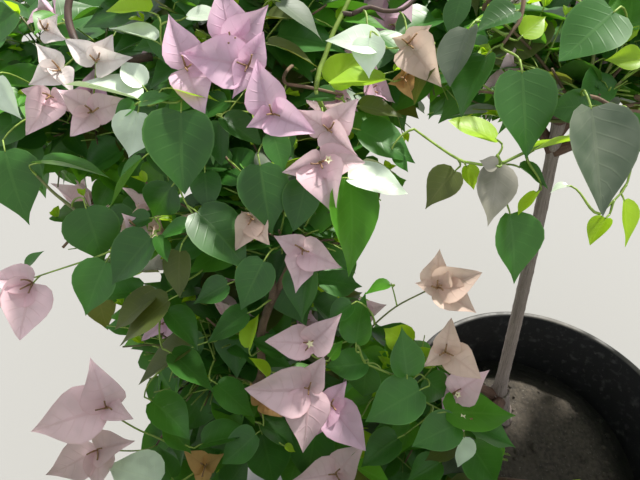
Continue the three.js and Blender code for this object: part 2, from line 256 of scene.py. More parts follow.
@dataclass(frozen=True)
class Net:
    """The faces of a shape, as corner numbers face after face, and the UV of each of its places."""

    corners: np.ndarray
    sizes: np.ndarray
    uvs: np.ndarray

    @staticmethod
    def of(faces: Sequence[Sequence[int]], uvs: np.ndarray) -> "Net":
        """Flatten a list of faces."""
        corners = np.concatenate([np.array(face) for face in faces])
        return Net(corners, np.array([len(face) for face in faces]), uvs)

    @staticmethod
    @functools.cache
    def tube(sides: int, rings: int) -> "Net":
        """Make the net of a tube that is closed at both ends.

        Args:
            sides: How many sides its section has.
            rings: How many sections it has.

        Returns:
            The net.
        """
        faces = []
        for ring, k in itertools.product(range(rings - 1), range(sides)):
            this, after, beside = ring * sides, (ring + 1) * sides, (k + 1) % sides
            faces.append((this + k, this + beside, after + beside, after + k))
        last = (rings - 1) * sides
        faces += [tuple(reversed(range(sides))), tuple(range(last, last + sides))]
        uvs = np.array([(k / sides, r / (rings - 1)) for r in range(rings) for k in range(sides)])
        return Net.of(faces, uvs)


class Tubes:
    """Round twigs, petioles and flower tubes."""

    @staticmethod
    def add(
        batch: Batch, route: Route, radii: Sequence[float], sides: int, rings: int, tint: int
    ) -> None:
        """Join a tube along a route to a batch.

        Args:
            batch: The mesh that it joins.
            route: Its centre line.
            radii: Its radius at the foot, any between, and at the tip.
            sides: How many sides its section has.
            rings: How many sections it has.
            tint: The number of its material.
        """
        shares = np.linspace(0, 1, rings)
        centres = route.at(shares)
        ways = np.gradient(centres, axis=0)
        ways /= np.maximum(np.linalg.norm(ways, axis=1, keepdims=True), 1e-9)
        seed = UP if abs(ways[0][2]) < 0.9 else np.array([1.0, 0.0, 0.0])
        first = np.cross(ways, seed)
        first /= np.maximum(np.linalg.norm(first, axis=1, keepdims=True), 1e-9)
        second = np.cross(ways, first)
        turns = FULL_TURN * np.arange(sides) / sides
        ring = np.cos(turns)[None, :, None] * first[:, None] + np.sin(turns)[None, :, None] * second[:, None]
        widths = np.interp(shares, np.linspace(0, 1, len(radii)), radii)
        places = (centres[:, None] + ring * widths[:, None, None]).reshape(-1, 3)
        batch.add(places, Net.tube(sides, rings), tint)


@dataclass(frozen=True)
class BladeForm:
    """The outline of a leaf or bract: its half width at stations along the midrib, and how it is shaped.

    The numbers for `fold`, `bend`, `sway` and `wave` are shares of the blade's length.
    """

    stations: tuple[float, ...]
    half_widths: tuple[float, ...]
    heart: float
    fold: tuple[float, float]
    bend: tuple[float, float]
    wave: float
    sway: float = 0.07
    fullness: tuple[float, float] = (0.68, 1.1)  # below 1, the blade stays wide for longer before its tip
    columns: tuple[float, ...] = (-1.0, -0.55, 0.0, 0.55, 1.0)

    @functools.cached_property
    def net(self) -> Net:
        """Make the faces: a fan at the foot, rows of quads, and a fan at the tip.

        Returns:
            The net.
        """
        wide = len(self.columns)
        rows = len(self.stations) - 2
        faces: list[tuple[int, ...]] = [(0, 2 + k, 1 + k) for k in range(wide - 1)]
        for row in range(rows - 1):
            start = 1 + row * wide
            after = start + wide
            faces += [(start + k, start + k + 1, after + k + 1, after + k) for k in range(wide - 1)]
        last = 1 + (rows - 1) * wide
        tip = last + wide
        faces += [(last + k, last + k + 1, tip) for k in range(wide - 1)]
        inner = [((column + 1) / 2, share) for share in self.stations[1:-1] for column in self.columns]
        return Net.of(faces, np.array([(0.5, 0.0), *inner, (0.5, 1.0)]))

    def points(self, length: float, width: float, draw: Draw) -> np.ndarray:
        """Shape one blade about the origin: X across, Y along its midrib, Z on its upper side.

        Args:
            length: From the petiole to the tip.
            width: Across the widest place.
            draw: Where its fold, bend and waves come from.

        Returns:
            Its places, in the order that the net uses.
        """
        fold = mix(self.fold, draw())
        bend = mix(self.bend, draw())
        sway = self.sway * (2 * draw() - 1)
        phase = draw() * FULL_TURN
        twist = (draw() - 0.5) * 0.3
        column = np.array(self.columns)[None, :]
        share = np.array(self.stations[1:-1])[:, None]
        half = np.array(self.half_widths[1:-1])[:, None] ** mix(self.fullness, draw())
        x = column * half
        y = share - self.heart * np.abs(column) ** 2 * np.clip(1 - share / 0.3, 0, 1)
        ripple = self.wave * np.sin(phase + share * 9 + column) * np.abs(column) ** 2
        z = fold * np.abs(x) * (1 - 0.35 * np.abs(column)) - bend * share**2 + ripple + twist * x * share
        x = x * width / 2 + sway * length * share**3
        inner = np.stack([x, y * length, z * length], axis=-1).reshape(-1, 3)
        return np.vstack([[0, 0, 0], inner, [sway * length, length, -bend * length]])


LEAF_FORM = BladeForm(
    stations=(0, 0.04, 0.13, 0.26, 0.41, 0.56, 0.70, 0.83, 1),
    half_widths=(0, 0.50, 0.84, 1.0, 0.97, 0.78, 0.49, 0.20, 0),
    heart=0.05,
    fold=(0.08, 0.32),
    bend=(0.02, 0.2),
    wave=0.014,
)
NEAR_LEAF_FORM = BladeForm(
    stations=(0, 0.02, 0.08, 0.17, 0.28, 0.40, 0.52, 0.63, 0.74, 0.84, 0.93, 1),
    half_widths=(0, 0.34, 0.70, 0.91, 1.0, 0.98, 0.85, 0.65, 0.41, 0.20, 0.07, 0),
    heart=0.05,
    fold=(0.08, 0.3),
    bend=(0.02, 0.16),
    wave=0.012,
)
BUD_FORM = BladeForm(
    stations=(0, 0.15, 0.45, 0.75, 1),
    half_widths=(0, 0.6, 1.0, 0.55, 0),
    heart=0.0,
    fold=(0.3, 0.6),
    bend=(-0.2, 0.2),
    wave=0.0,
    columns=(-1.0, 0.0, 1.0),
)
BRACT_FORM = BladeForm(
    stations=(0, 0.05, 0.14, 0.27, 0.41, 0.55, 0.69, 0.82, 0.92, 1),
    half_widths=(0, 0.42, 0.76, 0.97, 1.0, 0.83, 0.54, 0.27, 0.11, 0),
    heart=0.03,
    fold=(0.18, 0.6),
    bend=(0.16, 0.42),
    wave=0.045,
)


@dataclass
class Blade:
    """A leaf or bract set in space: where it starts, its midrib's way and the side that faces up."""

    root: np.ndarray
    along: np.ndarray
    facing: np.ndarray
    length: float
    width: float

    def __post_init__(self) -> None:
        """Square the three ways to one another."""
        self.along = unit(self.along)
        self.across = unit(np.cross(self.along, self.facing))
        self.facing = np.cross(self.across, self.along)

    def outline(self) -> np.ndarray:
        """Give the tip, the shoulders and a few places between, for tests of room.

        Returns:
            One row for each place.
        """
        spots = ((0.4, 0), (0.7, 0), (1, 0), (0.35, 0.5), (0.35, -0.5), (0.7, 0.3), (0.7, -0.3))
        return np.array([
            self.root + self.along * share * self.length + self.across * aside * self.width
            for share, aside in spots
        ])

    def middle(self) -> np.ndarray:
        """Give the place half way along the midrib."""
        return self.root + self.along * self.length / 2

    def add_to(self, batch: Batch, form: BladeForm, tint: int, draw: Draw) -> None:
        """Join the blade's mesh to a batch.

        Args:
            batch: The mesh that it joins.
            form: Its outline and how it is shaped.
            tint: The number of its material.
            draw: Where its fold, bend and waves come from.
        """
        local = form.points(self.length, self.width, draw)
        turned = local @ np.array([self.across, self.along, self.facing])
        batch.add(self.root + turned, form.net, tint)


# The camera and what it sees


@dataclass(frozen=True)
class Sight:
    """The camera: its place, how far it looks down, and its focal length in the photograph's pixels."""

    place: tuple[float, float, float] = (-0.43, -0.355, 1.35)
    down_deg: float = 48.0
    focal: float = 490.0
    width: int = 640
    height: int = 480

    def ways(self) -> np.ndarray:
        """Give the camera's right, up and forward ways.

        Returns:
            Three rows, one for each way.
        """
        down = math.radians(self.down_deg)
        forward = (0, math.cos(down), -math.sin(down))
        return np.array([(1, 0, 0), (0, math.sin(down), math.cos(down)), forward])

    def at(self, u: float, v: float, depth: float) -> np.ndarray:
        """Give the place behind a pixel of the photograph.

        Args:
            u: Pixels from the left edge.
            v: Pixels from the top edge.
            depth: Distance from the camera, along the way that it looks.

        Returns:
            The place.
        """
        right, up, forward = self.ways()
        offset = right * (u - self.width / 2) + up * (self.height / 2 - v)
        return np.array(self.place) + depth * (forward + offset / self.focal)

    def pixels(self, places: np.ndarray) -> np.ndarray:
        """Give the pixel and the depth of each place.

        Args:
            places: One row each.

        Returns:
            A row of two pixels and a depth for each place.
        """
        right, up, depth = ((np.asarray(places) - self.place) @ self.ways().T).T
        depth_safe = np.maximum(depth, 1e-3)
        u = self.width / 2 + self.focal * right / depth_safe
        v = self.height / 2 - self.focal * up / depth_safe
        return np.stack([u, v, depth], axis=-1)

    def crown_depth(self, u: float, v: float) -> float:
        """Give how far off the crown's nearest leaves are: closer at the upper right, further below.

        Args:
            u: Pixels from the left edge.
            v: Pixels from the top edge.

        Returns:
            The distance from the camera, along the way that it looks.
        """
        lower = min(max((v - 240) / 240, 0), 1)
        right = min(max((u - 420) / 60, 0), 1) * min(max((290 - v) / 60, 0), 1)
        left = min(max((160 - u) / 160, 0), 1)
        return 0.475 + 0.10 * lower - 0.075 * right + 0.04 * left

    def camera(self) -> None:
        """Make the scene's camera."""
        data = bpy.data.cameras.new("camera")
        data.sensor_width = 36.0
        data.lens = data.sensor_width * self.focal / self.width
        data.clip_start = 0.01
        item = bpy.data.objects.new("camera", data)
        item.location = self.place
        item.rotation_euler = (math.radians(90 - self.down_deg), 0, 0)
        bpy.context.scene.collection.objects.link(item)
        bpy.context.scene.camera = item


@dataclass(frozen=True)
class Window:
    """A part of the photograph that leaves don't cover, as pixels round its edge."""

    edge: tuple[Pixel, ...]
    furthest: float = 9.0

    def shows(self, seen: np.ndarray) -> bool:
        """Tell whether any of these pixels lies in the window, within its range of depths.

        Args:
            seen: Rows of two pixels and a depth.

        Returns:
            True where one of them does.
        """
        inside = np.zeros(len(seen), bool)
        for (x0, y0), (x1, y1) in zip(self.edge, self.edge[1:] + self.edge[:1]):
            crosses = (y0 > seen[:, 1]) != (y1 > seen[:, 1])
            if y0 != y1:
                inside ^= crosses & (seen[:, 0] < x0 + (seen[:, 1] - y0) * (x1 - x0) / (y1 - y0))
        return bool((inside & (seen[:, 2] > 0) & (seen[:, 2] < self.furthest)).any())


WINDOWS = {
    "over the tub": Window((
        (366, 275), (368, 205), (430, 190), (640, 175), (640, 480), (512, 480), (508, 425), (470, 372),
        (428, 335), (402, 322), (380, 300),
    )),
    "between the near leaves": Window((
        (412, 124), (450, 118), (520, 128), (600, 122), (640, 118), (640, 200), (412, 200),
    )),
    "lower left": Window((
        (0, 232), (62, 222), (80, 310), (112, 345), (142, 352), (152, 392), (150, 425), (120, 450),
        (60, 480), (0, 480),
    )),
    "upper left": Window(
        ((38, 128), (112, 118), (124, 160), (112, 203), (60, 200), (44, 160)), furthest=0.7,
    ),
}


@dataclass(frozen=True)
class View:
    """What the rule's own leaves leave free for the photograph's view."""

    sight: Sight = Sight()
    margin: float = 0.028
    rim: float = 25.0  # pixels round the photograph that are left free as well

    def clip(self, route: Route) -> Route | None:
        """Give the part of a twig, from its foot, that leaves the view free, if it is worth having.

        Args:
            route: The twig's line.

        Returns:
            The free part, or None where it is too short.
        """
        shares = np.linspace(0.1, 1, 13)
        stop = next((share for share in shares if self.blocked(route.at(np.array([share])))), None)
        if stop is None:
            return route
        if stop < 0.4:
            return None
        return Route(route.at(np.linspace(0, stop - 0.08, 12)))

    def blocked(self, places: np.ndarray) -> bool:
        """Tell whether a twig or leaf would cover a window, or the sprigs that show closest.

        Args:
            places: The places that it reaches.

        Returns:
            True where it is to be skipped.
        """
        seen = self.sight.pixels(places)
        if any(window.shows(seen) for window in WINDOWS.values()):
            return True
        u, v, depth = seen.T
        framed = (u > -self.rim) & (u < self.sight.width + self.rim) & (depth > 0)
        framed &= (v > -self.rim) & (v < self.sight.height + self.rim)
        limit = np.array([self.sight.crown_depth(x, y) for x, y in zip(u, v)]) + self.margin
        return bool((framed & (depth < limit)).any())


# Limbs, as in the part's source


@dataclass(frozen=True)
class MassRow:
    """One mass of leaves: its name, its centre in millimetres and how far it reaches."""

    name: str
    centre: tuple[float, float, float]
    reach: float


@dataclass(frozen=True)
class LimbRow:
    """One limb, in millimetres: where it starts and ends, how it arches and how thick it is at both ends."""

    name: str
    parent: str | None
    start: float
    arch: tuple[float, float, float]
    radii: tuple[float, float]
    tip: tuple[float, float, float] | None = None
    mass: MassRow | None = None
    foot: tuple[float, float, float] | None = None
    flare: float = 1.0


LIMBS = (
    LimbRow("trunk", None, 0, (5.5, -4, 0), (38, 20), tip=(-55, 97, 375), foot=(-44, 89, 290.3), flare=2.4),
    LimbRow("leader", "trunk", 1, (8, 6, 0), (12.2, 7.6), tip=(-137, 155, 1002)),
    LimbRow("bough_near", "leader", 1, (0, 20, 10), (6, 4.8),
            mass=MassRow("foliage_near", (-199, 9, 1112), 150)),
    LimbRow("bough_right", "leader", 0.93, (0, 0, 130), (6.6, 5),
            mass=MassRow("foliage_right", (350, 40, 990), 195)),
    LimbRow("bough_top", "leader", 0.97, (0, 10, 15), (6, 4.8),
            mass=MassRow("foliage_top", (60, 225, 1200), 172)),
    LimbRow("bough_back_right", "bough_right", 0.25, (0, 0, 60), (5.8, 4.8),
            mass=MassRow("foliage_back_right", (265, 365, 1015), 185)),
    LimbRow("bough_low_right", "bough_right", 0.75, (40, 20, 70), (5.6, 4.8),
            mass=MassRow("foliage_low_right", (385, 285, 760), 160)),
    LimbRow("cane_left", "trunk", 0.72, (0, 0, 60), (12, 7.6), tip=(-522, 44, 700)),
    LimbRow("riser_left", "cane_left", 1, (-6, 6, 0), (7, 5.4),
            mass=MassRow("foliage_centre", (-460, 6, 962), 165)),
    LimbRow("bough_lower_left", "cane_left", 0.93, (0, -25, -10), (5.8, 4.8),
            mass=MassRow("foliage_lower_left", (-576, -72, 771), 165)),
    LimbRow("cane_back_left", "cane_left", 0.78, (20, -10, 20), (8.4, 5.6),
            mass=MassRow("foliage_top_centre", (-516, 210, 1052), 170)),
    LimbRow("bough_upper_left", "cane_back_left", 0.74, (0, 20, 60), (6, 4.8),
            mass=MassRow("foliage_upper_left", (-813, 295, 926), 175)),
    LimbRow("bough_left", "cane_back_left", 0.4, (0, 0, 50), (5.8, 4.8),
            mass=MassRow("foliage_left", (-859, 113, 830), 152)),
    LimbRow("cane_back", "leader", 0.93, (0, 20, 50), (6.8, 5),
            mass=MassRow("foliage_back_left", (-316, 347, 1040), 165)),
    LimbRow("bough_back", "leader", 0.95, (0, 10, 30), (6.4, 5),
            mass=MassRow("foliage_back", (-30, 470, 985), 185)),
    LimbRow("bough_low_back", "bough_back", 0.6, (0, 20, 20), (5.6, 4.8),
            mass=MassRow("foliage_low_back", (-70, 590, 805), 135)),
    LimbRow("cane_front", "trunk", 0.66, (0, 0, 40), (12, 8.6), tip=(-190, -125, 545)),
    LimbRow("bough_low", "cane_front", 0.8, (0, 0, 0), (5.6, 4.8),
            mass=MassRow("foliage_low", (-273, -67, 667), 130)),
    LimbRow("bough_front_right", "cane_front", 1, (0, -20, 90), (7, 5),
            mass=MassRow("foliage_front_right", (200, -285, 870), 175)),
    LimbRow("bough_front", "cane_front", 0.95, (0, -10, 40), (6.4, 5),
            mass=MassRow("foliage_front", (-150, -400, 775), 165)),
    LimbRow("bough_front_left", "cane_front", 1, (-20, 0, 80), (7, 5),
            mass=MassRow("foliage_front_left", (-500, -350, 825), 172)),
    LimbRow("bough_side_left", "bough_front_left", 0.8, (0, 30, 50), (5.4, 4.8),
            mass=MassRow("foliage_side_left", (-800, -215, 800), 160)),
)
LIMB_STOP = 0.6  # a bough ends this share of the reach away from its mass's centre
LIMB_SAMPLES = 16  # the straight stretches that a limb is cut into for tests of room


class Limb:
    """One tapering limb, with bark."""

    def __init__(self, row: LimbRow, parent: "Limb | None") -> None:
        """Find the limb's line from its row and the limb that it comes from.

        Args:
            row: Its sizes.
            parent: The limb that it comes from, if any.
        """
        self.row = row
        self.parent = parent
        self.foot = point(*row.foot) if row.foot else parent.route.at(row.start)
        if row.tip:
            self.tip = point(*row.tip)
        else:
            centre = point(*row.mass.centre)
            self.tip = centre + unit(self.foot - centre) * LIMB_STOP * row.mass.reach * MM
        self.route = bent(self.foot, self.tip, point(*row.arch))

    def radius(self, share: float | np.ndarray) -> float | np.ndarray:
        """Give the radius at a share of the length."""
        thick, thin = self.row.radii
        return (thin + (thick - thin) * (1 - share) ** self.row.flare) * MM


def grow_limbs() -> dict[str, Limb]:
    """Build every limb in the order of the rows.

    Returns:
        The limbs by name.
    """
    limbs: dict[str, Limb] = {}
    for row in LIMBS:
        limbs[row.name] = Limb(row, limbs.get(row.parent or ""))
    return limbs


class Wood:
    """All limbs as straight stretches, for quick tests of room."""

    def __init__(self, limbs: Iterable[Limb]) -> None:
        """Cut each limb into short stretches.

        Args:
            limbs: All of the plant's.
        """
        shares = np.linspace(0, 1, LIMB_SAMPLES + 1)
        starts, ends, radii = [], [], []
        for limb in limbs:
            places = limb.route.at(shares)
            starts.append(places[:-1])
            ends.append(places[1:])
            radii.append(limb.radius(shares[:-1]))
        self.starts = np.vstack(starts)
        self.spans = np.vstack(ends) - self.starts
        self.squares = (self.spans**2).sum(axis=1)
        self.radii = np.concatenate(radii)

    def clear(self, places: np.ndarray, spare: float) -> bool:
        """Tell whether all places are further than the spare from every limb.

        Args:
            places: One row each.
            spare: The least distance to bark.

        Returns:
            True where all are.
        """
        off = places[:, None] - self.starts
        share = np.clip((off * self.spans).sum(axis=2) / self.squares, 0, 1)
        gap = np.linalg.norm(off - share[..., None] * self.spans, axis=2) - self.radii
        return bool((gap > spare).all())


# Leaf, bract and twig tints


class Leaf(Enum):
    """The leaves' tints, dealt out by spray."""

    SHADE = 0
    MID = 1
    FRESH = 2
    # LIT: yellow-green painted for sunlit leaves and leaves lit from behind; young buds take it as their own
    # green too
    LIT = 3
    OLIVE = 4
    DUSTY = 5
    # PALE: near-white leaves, a painted highlight of sun glare on glossy leaves
    PALE = 6
    CAKED = 7


class Bract(Enum):
    """The bracts' tints."""

    MAUVE = 0
    PINK = 1
    PALE = 2
    PEACH = 3
    TAN = 4


class Twig(Enum):
    """The twigs' tints."""

    GREEN = 0
    OLIVE = 1
    BROWN = 2
    DARK = 3


SHADE, MID, FRESH, LIT = Leaf.SHADE, Leaf.MID, Leaf.FRESH, Leaf.LIT
OLIVE, DUSTY, PALE, CAKED = Leaf.OLIVE, Leaf.DUSTY, Leaf.PALE, Leaf.CAKED
# Each tint with the draw up to which it is dealt
LEAF_DEAL = ((0.36, SHADE), (0.76, MID), (0.93, FRESH), (0.98, OLIVE), (1.0, DUSTY))
# Painted shade: shoots on a mass's lower side take more of the shade tint and less fresh green
SHADED_LOW_LEAF_DEAL = ((0.5, SHADE), (0.88, MID), (0.95, FRESH), (1.0, OLIVE))
# Side twigs now and then take LIT, the painted sunlit yellow-green
SIDE_LEAF_DEAL = ((0.3, SHADE), (0.62, MID), (0.88, FRESH), (0.94, LIT), (1.0, OLIVE))
OWN_TINT = 0.4  # the share of side twigs whose leaves differ from those of their shoot
BRACT_DEAL = (
    (0.45, Bract.MAUVE), (0.75, Bract.PINK), (0.9, Bract.PALE), (0.97, Bract.PEACH), (1.0, Bract.TAN),
)


def dealt(deal: Sequence[tuple[float, Enum]], share: float) -> int:
    """Give the number of the tint that a draw falls on."""
    return next(tint.value for limit, tint in deal if share <= limit)


# Masses of leaves

SHOOTS_PER_REACH = 1 / 21  # main shoots for each millimetre of reach, as in the source
GROWTH_SEED = 4
SEEDS_PER_STEP = 100
SHOOT_FEET = (0.35, 1.0)  # where shoots leave the stem, as shares of its length
SHOOT_REACH = (0.5, 0.98)  # how far main shoots go, as shares of the mass's reach
SHOOT_ARCH = ((-0.125, 0.125), (-0.125, 0.125), (0.075, 0.2))  # in X, Y and Z, as shares of its span
FURTHEST_TIP = 1.25  # how far any leaf goes, as a share of the mass's reach
CELL_MARGIN = 3 * MM  # what main shoots leave free on each side of the plane to the next mass
LIMB_MARGIN = 1.5 * MM
STEM_GAP = 0.34 * MM
TUB_HEIGHT = 0.400
RIM_RADIUS = 0.280
RIM_MARGIN = 0.026  # what leaves keep clear of the tub's rim
LOWEST_LEAF = 0.395
BLOSSOM_EVERY = 4  # of the main shoots, one in so many ends in blossom
LEAFY_FROM = 0.35  # the share of a bough past which it bears leafy twigs
# Canes without a mass of their own, and the share of their length past which they are leafy
BARE_LIMBS = {"cane_left": 0.62, "cane_front": 0.7}
LEVELLED = np.array([1.0, 1.0, 0.4])  # leaves turn level, towards the light
WIDE_OPEN = 9.0  # further than the plant is wide, where a mass sets no limit


@dataclass(frozen=True)
class Growth:
    """How finely a mass is carried on past the source's main shoots."""

    fine_shoots: int = 5
    fine_reach: tuple[float, float] = (0.42, 1.2)
    fine_overlap: float = 0.05
    fine_blossoms: float = 0.34
    side_blossoms: float = 0.1
    underside: tuple[float, float] = (-0.3, 0.62)
    limb_twig_gap: float = 0.022
    limb_twigs: tuple[float, float] = (0.05, 0.13)
    blossom_shares: tuple[float, ...] = (1.0, 0.88, 0.76)
    blossom_stalk: tuple[float, float] = (0.012, 0.024)
    bud_length: tuple[float, float] = (0.010, 0.022)
    side_twigs: tuple[float, ...] = (0.3, 0.47, 0.64, 0.8)
    side_reach: tuple[float, float] = (0.035, 0.08)
    node_spacing: float = 0.019
    node_range: tuple[float, float] = (0.2, 0.98)
    leaf_length: tuple[float, float] = (0.044, 0.086)
    leaf_width: tuple[float, float] = (0.66, 0.8)
    petiole: float = 0.2
    spacing: float = 0.021
    bract_length: tuple[float, float] = (0.034, 0.046)
    bract_width: float = 0.74
    shoot_radii: tuple[float, float] = (2.2 * MM, 1.1 * MM)
    side_radii: tuple[float, float] = (1.2 * MM, 0.7 * MM)
    petiole_radius: float = 0.55 * MM


class Crowd:
    """Where the middles of all blades are, in cells as wide as the least distance between two."""

    def __init__(self, spacing: float) -> None:
        """Start with no blades.

        Args:
            spacing: The least distance between two middles.
        """
        self.spacing = spacing
        self.cells: dict[tuple[int, ...], list[np.ndarray]] = {}
        self.count = 0

    def near(self, place: np.ndarray) -> bool:
        """Tell whether a blade's middle is too close to this place.

        Args:
            place: Where a blade's middle would be.

        Returns:
            True where another is too close.
        """
        x, y, z = (int(number) for number in np.floor(place / self.spacing))
        around = itertools.product((x - 1, x, x + 1), (y - 1, y, y + 1), (z - 1, z, z + 1))
        others = (other for cell in around for other in self.cells.get(cell, ()))
        return any(math.dist(place, other) < self.spacing for other in others)

    def add(self, place: np.ndarray) -> None:
        """Keep one more blade's middle.

        Args:
            place: Where it is.
        """
        cell = tuple(int(number) for number in np.floor(place / self.spacing))
        self.cells.setdefault(cell, []).append(place)
        self.count += 1


class Space:
    """The space of one mass: nearer to its centre than to any other, clear of limbs and of the tub."""

    def __init__(self, row: MassRow, others: Sequence[MassRow], wood: Wood) -> None:
        """Work out the planes between this mass and the others.

        Args:
            row: The mass.
            others: All other masses.
            wood: The limbs that it stays clear of.
        """
        self.centre = point(*row.centre)
        self.reach = row.reach * MM
        self.wood = wood
        across = np.array([point(*other.centre) for other in others]) - self.centre
        apart = np.linalg.norm(across, axis=1)
        reaches = np.array([other.reach for other in others]) * MM
        self.walls = across / apart[:, None]
        self.offsets = (apart**2 + self.reach**2 - reaches**2) / (2 * apart) - CELL_MARGIN
        self.overlap = 0.0  # how far fine shoots may grow in among those of the next mass
        self.furthest = FURTHEST_TIP

    def allows(self, places: np.ndarray, spare: float) -> bool:
        """Tell whether a twig or leaf may reach all these places.

        Args:
            places: One row each.
            spare: The twig's own radius.

        Returns:
            True where it may.
        """
        off = places - self.centre
        if (np.linalg.norm(off, axis=1) > self.reach * self.furthest).any():
            return False
        if (off @ self.walls.T >= self.offsets + self.overlap).any():
            return False
        low, high = np.array(CAD_BOX)
        if (places < low - REACH_SPARE).any() or (places > high + REACH_SPARE).any():
            return False
        over_tub = np.hypot(places[:, 0], places[:, 1]) < RIM_RADIUS + RIM_MARGIN
        if (places[:, 2] < np.where(over_tub, TUB_HEIGHT + RIM_MARGIN, LOWEST_LEAF)).any():
            return False
        return self.wood.clear(places, spare + LIMB_MARGIN)

    def pull_in(self, target: np.ndarray) -> np.ndarray:
        """Give the furthest place towards a target that the planes leave free.

        Args:
            target: Where a shoot is heading.

        Returns:
            The target, or a place nearer to the centre.
        """
        off = target - self.centre
        along = self.walls @ off
        limits = self.offsets + self.overlap - CELL_MARGIN
        tight = along > limits
        share = float(np.min(limits[tight] / along[tight])) if tight.any() else 1.0
        return self.centre + off * share


@dataclass
class Kinds:
    """The joined meshes of one side of the crown, one for each kind of thing."""

    side: str
    leaves: Batch = field(init=False)
    twigs: Batch = field(init=False)
    bracts: Batch = field(init=False)
    flowers: Batch = field(init=False)
    nodes: list[str] = field(default_factory=list)

    def __post_init__(self) -> None:
        """Name the meshes after their side."""
        for kind in ("leaves", "twigs", "bracts", "flowers"):
            setattr(self, kind, Batch(f"{kind}_{self.side}"))


@dataclass(frozen=True)
class Blossom:
    """A cluster of three papery bracts, each with a slim tube, and now and then an open cream star."""

    growth: Growth
    bracts: int = 3
    tube_length: tuple[float, float] = (0.013, 0.019)
    tube_radii: tuple[float, ...] = (0.7 * MM, 1.2 * MM, 0.7 * MM, 0.9 * MM)
    open_share: float = 0.06
    star_points: int = 5
    star_radius: float = 0.0042

    def blades(self, root: np.ndarray, along: np.ndarray, turn: float, draw: Draw) -> list[Blade]:
        """Set three bracts round a twig's tip.

        Args:
            root: Where they start.
            along: The way that the twig runs.
            turn: How far the first is turned round the twig.
            draw: Where their sizes and angles come from.

        Returns:
            The three bracts.
        """
        first = unit(np.cross(along, UP + np.array([0.01, 0, 0])))
        second = np.cross(along, first)
        length = mix(self.growth.bract_length, draw())
        blades = []
        for k in range(self.bracts):
            angle = turn + k * FULL_TURN / self.bracts + mix((-0.35, 0.35), draw())
            side = first * math.cos(angle) + second * math.sin(angle)
            way = along * mix((0.4, 1.15), draw()) + side * 0.75
            size = length * mix((0.84, 1.12), draw())
            facing = along - side * 0.6 + np.cross(way, along) * mix((-0.5, 0.5), draw())
            blades.append(Blade(root, way, facing, size, size * self.growth.bract_width))
        return blades

    def dress(
        self, kinds: Kinds, root: np.ndarray, along: np.ndarray, blades: list[Blade], tint: int, draw: Draw
    ) -> None:
        """Join the bracts, tubes and any star to their meshes.

        Args:
            kinds: The meshes that they join.
            root: Where the tubes start.
            along: The way that the cluster opens.
            blades: The bracts.
            tint: The number of their material.
            draw: Where the shapes come from.
        """
        for blade in blades:
            blade.add_to(kinds.bracts, BRACT_FORM, tint, draw)
            spread = unit(along + blade.along * mix((0.3, 1.1), draw()))
            end = root + spread * mix(self.tube_length, draw())
            arch = unit(blade.across * (draw() - 0.5) + blade.facing) * mix((0.001, 0.005), draw())
            Tubes.add(kinds.flowers, bent(root, end, arch), self.tube_radii, 5, 6, 0)
            if draw() < self.open_share:
                self.star(kinds.flowers, end, spread)

    def star(self, batch: Batch, centre: np.ndarray, along: np.ndarray) -> None:
        """Join one small five-pointed flower.

        Args:
            batch: The mesh that it joins.
            centre: Its middle.
            along: The way that it faces.
        """
        first = unit(np.cross(along, UP + np.array([0.02, 0.01, 0])))
        second = np.cross(along, first)
        count = self.star_points * 2
        points = [centre - along * 0.0012]
        for k in range(count):
            angle = math.pi * k / self.star_points
            radius = self.star_radius * (1.0 if k % 2 == 0 else 0.5)
            side = first * math.cos(angle) + second * math.sin(angle)
            points.append(centre + side * radius + along * 0.0006)
        faces = [(0, 1 + k, 1 + (k + 1) % count) for k in range(count)]
        batch.add(np.array(points), Net.of(faces, np.zeros((count + 1, 2))), 1)


